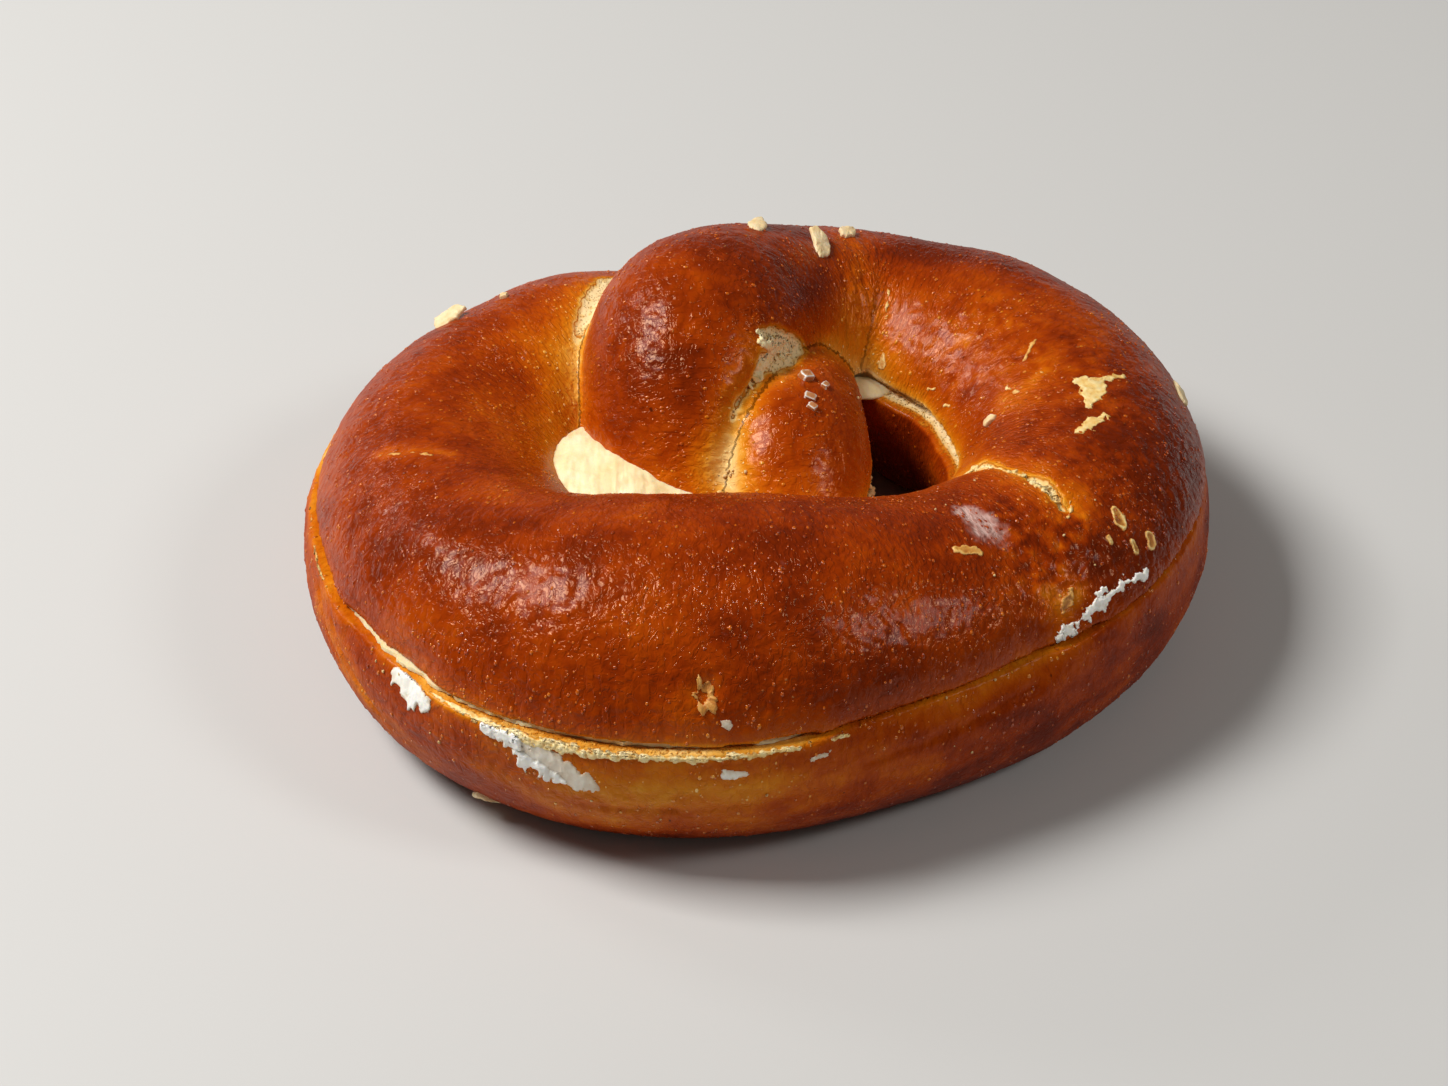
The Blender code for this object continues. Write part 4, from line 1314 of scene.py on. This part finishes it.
# Fine relief, where height 1 stands depth millimetres over height 0
def bump(tree, height, depth):
    inputs = {"Height": height, "Strength": 1.0, "Distance": depth * mm}
    return addNode(tree, "Bump", inputs).outputs["Normal"]


crustLook = {
    # browning to colour, and the shade of the crumb to colour
    "stops": [(0.0, colour(246, 212, 142)), (0.15, colour(236, 174, 68)), (0.32, colour(222, 136, 20)),
              (0.5, colour(204, 102, 6)), (0.68, colour(178, 71, 3)), (0.85, colour(146, 46, 2)),
              (1.0, colour(98, 27, 3))],
    "crumbStops": [(0.0, colour(140, 90, 36)), (0.35, colour(216, 170, 96)), (0.6, colour(242, 210, 146)),
                   (1.0, colour(252, 228, 176))],
    "blister": colour(232, 168, 96),
    # a painted whitish sheen, standing in for a reflection on the dimple
    "paintedSheen": colour(212, 176, 164),
    "rind": colour(206, 124, 30),
    "sheen": colour(255, 200, 150),
    "thinSkin": colour(238, 202, 132),
    "pore": colour(60, 22, 8),
    "grainRun": (1.1, 0.62, 0.62),  # the pattern is finer along the rope than round it
    "leather": {"Fineness": 1.15, "Swirl": 2.2},
    "leatherDepth": 0.15,
    # fineness and size of the blister dots, and how strongly their colour shows
    "blisterDots": (1.1, 0.17),
    "blisterShows": 0.3,
    # fineness, share and size of the pores, and how strongly they show
    "poreDots": (0.42, 0.3, 0.1),
    "poreShows": 0.8,
    "wideFineness": 0.16,
    # fineness and strength of the mottle of fine tone, of the torn edges and of the roughness
    "fineMottle": (0.9, 0.07),
    "tornMottle": (2.2, 0.25),
    "roughMottle": (0.5, 0.09),
    "rimGold": 0.3,  # browning missing just beside bare crumb
    "dullWhenPale": 0.1,  # roughness added where the crust is pale
    "edgeDulls": 0.35,  # roughness added where the crust turns away
    "crumbFineness": 0.9,
    "crumbRoughness": 0.78,
    "coat": 0.08,
    "coatRoughness": 0.15,
}


# Crust by its attributes: browning and mottle through a ramp with blisters, pores and a painted sheen, or
# bare crumb
def crustMaterial(name, mottling, blisterShare, roughness, gloss):
    look = crustLook
    made, tree, shader = newMaterial(
        name, {"Coat Roughness": look["coatRoughness"], "Specular IOR Level": gloss,
               "Specular Tint": look["sheen"]})
    along = scaled(tree, attributeOf(tree, "ropePlace", "Vector"), look["grainRun"])
    spot = millimetres(tree)
    browned, bare = attributeOf(tree, "browned"), attributeOf(tree, "bare")

    def dotted(fineness, share, size):
        inputs = {"Vector": along, "Fineness": fineness, "Share": share, "Size": size}
        return fillGroup(tree, dots, inputs)["Mask"]

    def mottled(vector, fineness, strength):
        inputs = {"Vector": vector, "Fineness": fineness, "Strength": strength}
        return fillGroup(tree, mottle, inputs)["Value"]

    wide, fine = mottled(spot, look["wideFineness"], mottling), mottled(along, *look["fineMottle"])
    height = fillGroup(tree, leather, {"Vector": along, **look["leather"]})["Height"]
    fineness, width = look["blisterDots"]
    blister, pores = dotted(fineness, blisterShare, width), dotted(*look["poreDots"])
    crumbs = fillGroup(tree, crumbGroup, {"Vector": spot, "Fineness": look["crumbFineness"]})

    rim = ranged(tree, bare, -0.9, 0.0, 0.0, -look["rimGold"])
    tone = calculate(tree, "ADD", browned, calculate(tree, "ADD", wide, calculate(tree, "ADD", fine, rim)))
    tone = calculate(tree, "ADD", tone, ranged(tree, height, 0.0, 1.0, 0.03, -0.02))
    skin = ramp(tree, tone, look["stops"])
    skin = blended(tree, calculate(tree, "MULTIPLY", blister, look["blisterShows"]), skin, look["blister"])
    skin = blended(tree, calculate(tree, "MULTIPLY", pores, look["poreShows"]), skin, look["pore"])
    # the painted sheen, thinner on the wrinkles' high points
    sheenShare = ranged(tree, height, 0.1, 0.8, 0.9, 0.5)
    paintedSheen = calculate(tree, "MULTIPLY", attributeOf(tree, "dimpleAndSheen"), sheenShare)
    skin = blended(tree, paintedSheen, skin, look["paintedSheen"])
    inner = ramp(tree, crumbs["Tone"], look["crumbStops"])
    inner = blended(tree, ranged(tree, bare, 0.5, 1.0), look["thinSkin"], inner)
    inner = blended(tree, ranged(tree, bare, 0.2, 0.5), look["rind"], inner)
    torn = ranged(tree, calculate(tree, "ADD", bare, mottled(spot, *look["tornMottle"])), -0.06, 0.08)
    tree.links.new(blended(tree, torn, skin, inner), shader.inputs["Base Color"])

    rough = ranged(tree, tone, 0.2, 0.9, roughness + look["dullWhenPale"], roughness)
    rough = calculate(tree, "ADD", rough, mottled(spot, *look["roughMottle"]))
    edge = addNode(tree, "LayerWeight", {"Blend": 0.5}).outputs["Facing"]
    rough = calculate(tree, "ADD", rough, ranged(tree, edge, 0.45, 0.95, 0.0, look["edgeDulls"]))
    rough = addNode(tree, "Mix", {0: torn, 2: rough, 3: look["crumbRoughness"]}).outputs[0]
    tree.links.new(rough, shader.inputs["Roughness"])
    tree.links.new(ranged(tree, torn, 0.0, 1.0, look["coat"], 0.0), shader.inputs["Coat Weight"])

    whole = calculate(tree, "MULTIPLY_ADD", blister, 0.5, height)
    whole = calculate(tree, "MULTIPLY", whole, ranged(tree, torn, 0.0, 1.0, 1.0, 0.0))
    crumbly = calculate(tree, "MULTIPLY", crumbs["Height"], calculate(tree, "MULTIPLY", torn, 2.0))
    normal = bump(tree, calculate(tree, "ADD", whole, crumbly), look["leatherDepth"])
    tree.links.new(normal, shader.inputs["Normal"])
    return made


topCrust = crustMaterial("topCrust", mottling=0.2, blisterShare=0.5, roughness=0.12, gloss=0.19)
bottomCrust = crustMaterial("bottomCrust", mottling=0.2, blisterShare=0.35, roughness=0.28, gloss=0.07)


blisterLook = {
    "mottle": {"Fineness": 1.2, "Strength": 0.08},
    "shine": {"Roughness": 0.14, "Coat Weight": 0.3, "Coat Roughness": 0.08},
}


# The crust's colours, glossier
def blisterMaterial():
    made, tree, shader = newMaterial("blister", blisterLook["shine"])
    uneven = fillGroup(tree, mottle, {"Vector": millimetres(tree), **blisterLook["mottle"]})["Value"]
    tone = calculate(tree, "ADD", attributeOf(tree, "browned"), uneven)
    tree.links.new(ramp(tree, tone, crustLook["stops"]), shader.inputs["Base Color"])
    return made


paleLook = {
    "mottling": 0.5,
    # shares of the mottle and of the attribute in the tone, where there is an attribute
    "mottleShare": 0.3,
    "attributeShare": 0.75,
    "smoother": 0.08,  # roughness taken off and added by the grain
    "rougher": 0.1,
}


# Pale food that light enters: a ramp over mottle, or over an attribute and mottle, with specks and fine grain
def paleMaterial(name, stops, look, uniform):
    made, tree, shader = newMaterial(name, uniform)
    spot = millimetres(tree)
    inputs = {"Vector": spot, "Fineness": look["fineness"], "Strength": paleLook["mottling"]}
    tone = calculate(tree, "ADD", fillGroup(tree, mottle, inputs)["Value"], 0.5)
    if "attribute" in look:
        pale = calculate(tree, "MULTIPLY", attributeOf(tree, look["attribute"]), paleLook["attributeShare"])
        tone = calculate(tree, "MULTIPLY_ADD", tone, paleLook["mottleShare"], pale)
    shade = ramp(tree, tone, stops)
    fineness, share, width = look["specks"]
    inputs = {"Vector": spot, "Fineness": fineness, "Share": share, "Size": width}
    speck = fillGroup(tree, dots, inputs)["Mask"]
    shade = blended(tree, calculate(tree, "MULTIPLY", speck, look["speckStrength"]), shade, look["speck"])
    tree.links.new(shade, shader.inputs["Base Color"])
    grain = addNode(tree, "TexNoise", {"Vector": spot, "Scale": look["grain"], "Detail": 4.0}).outputs["Fac"]
    least, most = look["roughness"] - paleLook["smoother"], look["roughness"] + paleLook["rougher"]
    tree.links.new(ranged(tree, grain, 0.2, 0.8, least, most), shader.inputs["Roughness"])
    tree.links.new(bump(tree, grain, look["depth"]), shader.inputs["Normal"])
    return made


butterMaterial = paleMaterial(
    "butterFat", [(0.2, colour(236, 208, 146)), (0.5, colour(248, 226, 174)), (0.8, colour(253, 238, 200))],
    {"fineness": 0.22, "specks": (0.16, 0.5, 0.07), "speckStrength": 0.7,
     "speck": colour(150, 100, 48), "grain": 1.6, "roughness": 0.42, "depth": 0.06},
    {"Subsurface Weight": 0.35, "Subsurface Radius": (0.9, 0.6, 0.3), "Subsurface Scale": 0.0016})
smearMaterial = paleMaterial(
    "smearedFat", [(0.05, colour(206, 168, 128)), (0.25, colour(232, 214, 190)), (0.6, colour(251, 243, 228)),
                   (1.0, colour(255, 252, 244))],
    {"fineness": 0.9, "specks": (0.5, 0.2, 0.1), "speckStrength": 0.3,
     "speck": colour(170, 120, 70), "grain": 2.4, "roughness": 0.5, "depth": 0.05, "attribute": "pale"},
    {"Subsurface Weight": 0.2, "Subsurface Radius": (0.6, 0.4, 0.25), "Subsurface Scale": 0.001})
flakeMaterial = paleMaterial(
    "bakedFlake", [(0.1, colour(206, 160, 96)), (0.4, colour(232, 200, 146)), (0.75, colour(247, 226, 184))],
    {"fineness": 0.55, "specks": (0.8, 0.35, 0.14), "speckStrength": 0.5,
     "speck": colour(176, 128, 70), "grain": 2.6, "roughness": 0.55, "depth": 0.08},
    {"Subsurface Weight": 0.25, "Subsurface Radius": (0.8, 0.5, 0.3), "Subsurface Scale": 0.001})
tornMaterial = paleMaterial(
    "tornSkin", [(0.0, colour(120, 56, 12)), (0.3, colour(206, 126, 36)), (0.55, colour(240, 190, 100)),
                 (0.78, colour(253, 226, 160)), (1.0, colour(255, 236, 184))],
    {"fineness": 0.9, "specks": (1.5, 0.3, 0.16), "speckStrength": 0.5,
     "speck": colour(150, 92, 36), "grain": 2.6, "roughness": 0.5, "depth": 0.08, "attribute": "pale"},
    {"Subsurface Weight": 0.15, "Subsurface Radius": (0.6, 0.4, 0.2), "Subsurface Scale": 0.001})
crumbMaterial = paleMaterial(
    "breadCrumb", [(0.1, colour(150, 108, 56)), (0.4, colour(208, 170, 108)), (0.8, colour(240, 214, 160))],
    {"fineness": 0.9, "specks": (1.4, 0.5, 0.2), "speckStrength": 0.6,
     "speck": colour(110, 76, 38), "grain": 3.0, "roughness": 0.75, "depth": 0.1}, {})
saltMaterial = paleMaterial(
    "salt", [(0.1, colour(206, 122, 62)), (0.4, colour(234, 178, 128)), (0.75, colour(255, 250, 240))],
    {"fineness": 0.9, "specks": (1.4, 0.2, 0.15), "speckStrength": 0.25,
     "speck": colour(180, 140, 110), "grain": 2.0, "roughness": 0.2, "depth": 0.03, "attribute": "pale"},
    {"IOR": 1.54, "Transmission Weight": 0.25})


# Each piece's material, its slot in the record, and the node that it takes the place of
dressed = [(crustTop, topCrust, "crust", "bread_top"), (crustBottom, bottomCrust, "crust", "bread_bottom"),
           (butterLayer, butterMaterial, "butter", "butter"), (bakedFlakes, flakeMaterial, "crust", None),
           (saltGrains, saltMaterial, "crust", None), (butterSmears, smearMaterial, "butter", None),
           (looseCrumbs, crumbMaterial, "crust", None), (tornSkin, tornMaterial, "crust", None)]
blisterCoat = blisterMaterial()
dressed += [(field, blisterCoat, "crust", None) for field in (blistersTop, blistersBottom)]
for piece, material, slot, node in dressed:
    piece.data.materials.clear()
    piece.data.materials.append(material)
    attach(piece, "root")
    if node:
        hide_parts(node)
print("materials on")


# The camera, the lights and the floor

stage = {
    # the camera looks at target from in front
    "target": (-5.0, -10.1, 20.0),
    "elevation": 40,
    "distance": 493,
    "lens": 85,
    "sensor": 36,
    # azimuth, elevation, distance in metres, width, height and power of each soft box
    "lights": [(-98, 52, 1.0, 0.36, 0.36, 11.5), (72, 43, 1.0, 0.22, 0.22, 2.0),
               (-126, 29, 1.0, 0.2, 0.14, 1.1)],
    "ambient": 0.1,
    "ambientColour": colour(248, 243, 235),
    "floor": colour(204, 202, 198),
    "floorReach": 1500,
    "floorRoughness": 0.55,
}


# The direction from the object to a place at an azimuth (0 in front, 90 to the right) and an elevation
def direction(azimuth, elevation):
    a, e = math.radians(azimuth), math.radians(elevation)
    return Vector((math.sin(a) * math.cos(e), -math.cos(a) * math.cos(e), math.sin(e)))


# The camera in front of the object and above it, turned to the target
def addCamera():
    target = Vector(stage["target"]) * mm
    away = direction(0, stage["elevation"])
    camera = bpy.data.objects.new("camera", bpy.data.cameras.new("camera"))
    camera.data.lens = stage["lens"]
    camera.data.sensor_width = stage["sensor"]
    camera.data.clip_start = 0.01
    camera.location = target + away * stage["distance"] * mm
    camera.rotation_euler = away.to_track_quat("Z", "Y").to_euler()
    bpy.context.scene.collection.objects.link(camera)
    bpy.context.scene.camera = camera


# A rectangle of light turned to the target
def addSoftBox(name, azimuth, elevation, distance, width, height, power):
    light = bpy.data.lights.new(name, "AREA")
    light.shape = "RECTANGLE"
    light.size = width
    light.size_y = height
    light.energy = power
    box = bpy.data.objects.new(name, light)
    away = direction(azimuth, elevation)
    box.location = Vector(stage["target"]) * mm + away * distance
    box.rotation_euler = away.to_track_quat("Z", "Y").to_euler()
    bpy.context.scene.collection.objects.link(box)


# A wide pale table under the object, marked as backdrop so that the bounds leave it out
def addFloor():
    reach = stage["floorReach"]
    corners = [(-reach, -reach, 0), (reach, -reach, 0), (reach, reach, 0), (-reach, reach, 0)]
    floor = newPiece("floor", corners, [(0, 1, 2, 3)])
    paint = {"Base Color": stage["floor"], "Roughness": stage["floorRoughness"]}
    floor.data.materials.append(newMaterial("paleFloor", paint)[0])
    floor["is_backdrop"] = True


# A faint even light from all round
def addWorld():
    world = bpy.data.worlds.new("studio")
    world.use_nodes = True
    background = world.node_tree.nodes["Background"].inputs
    background["Color"].default_value = stage["ambientColour"]
    background["Strength"].default_value = stage["ambient"]
    bpy.context.scene.world = world


addCamera()
for k, row in enumerate(stage["lights"]):
    addSoftBox(f"softBox{k + 1}", *row)
addFloor()
addWorld()
bpy.context.scene.view_settings.view_transform = "Standard"

low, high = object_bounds()
size = {"cad": [list(cadLow), list(cadHigh)], "visual": [list(low), list(high)]}
print("size", size)
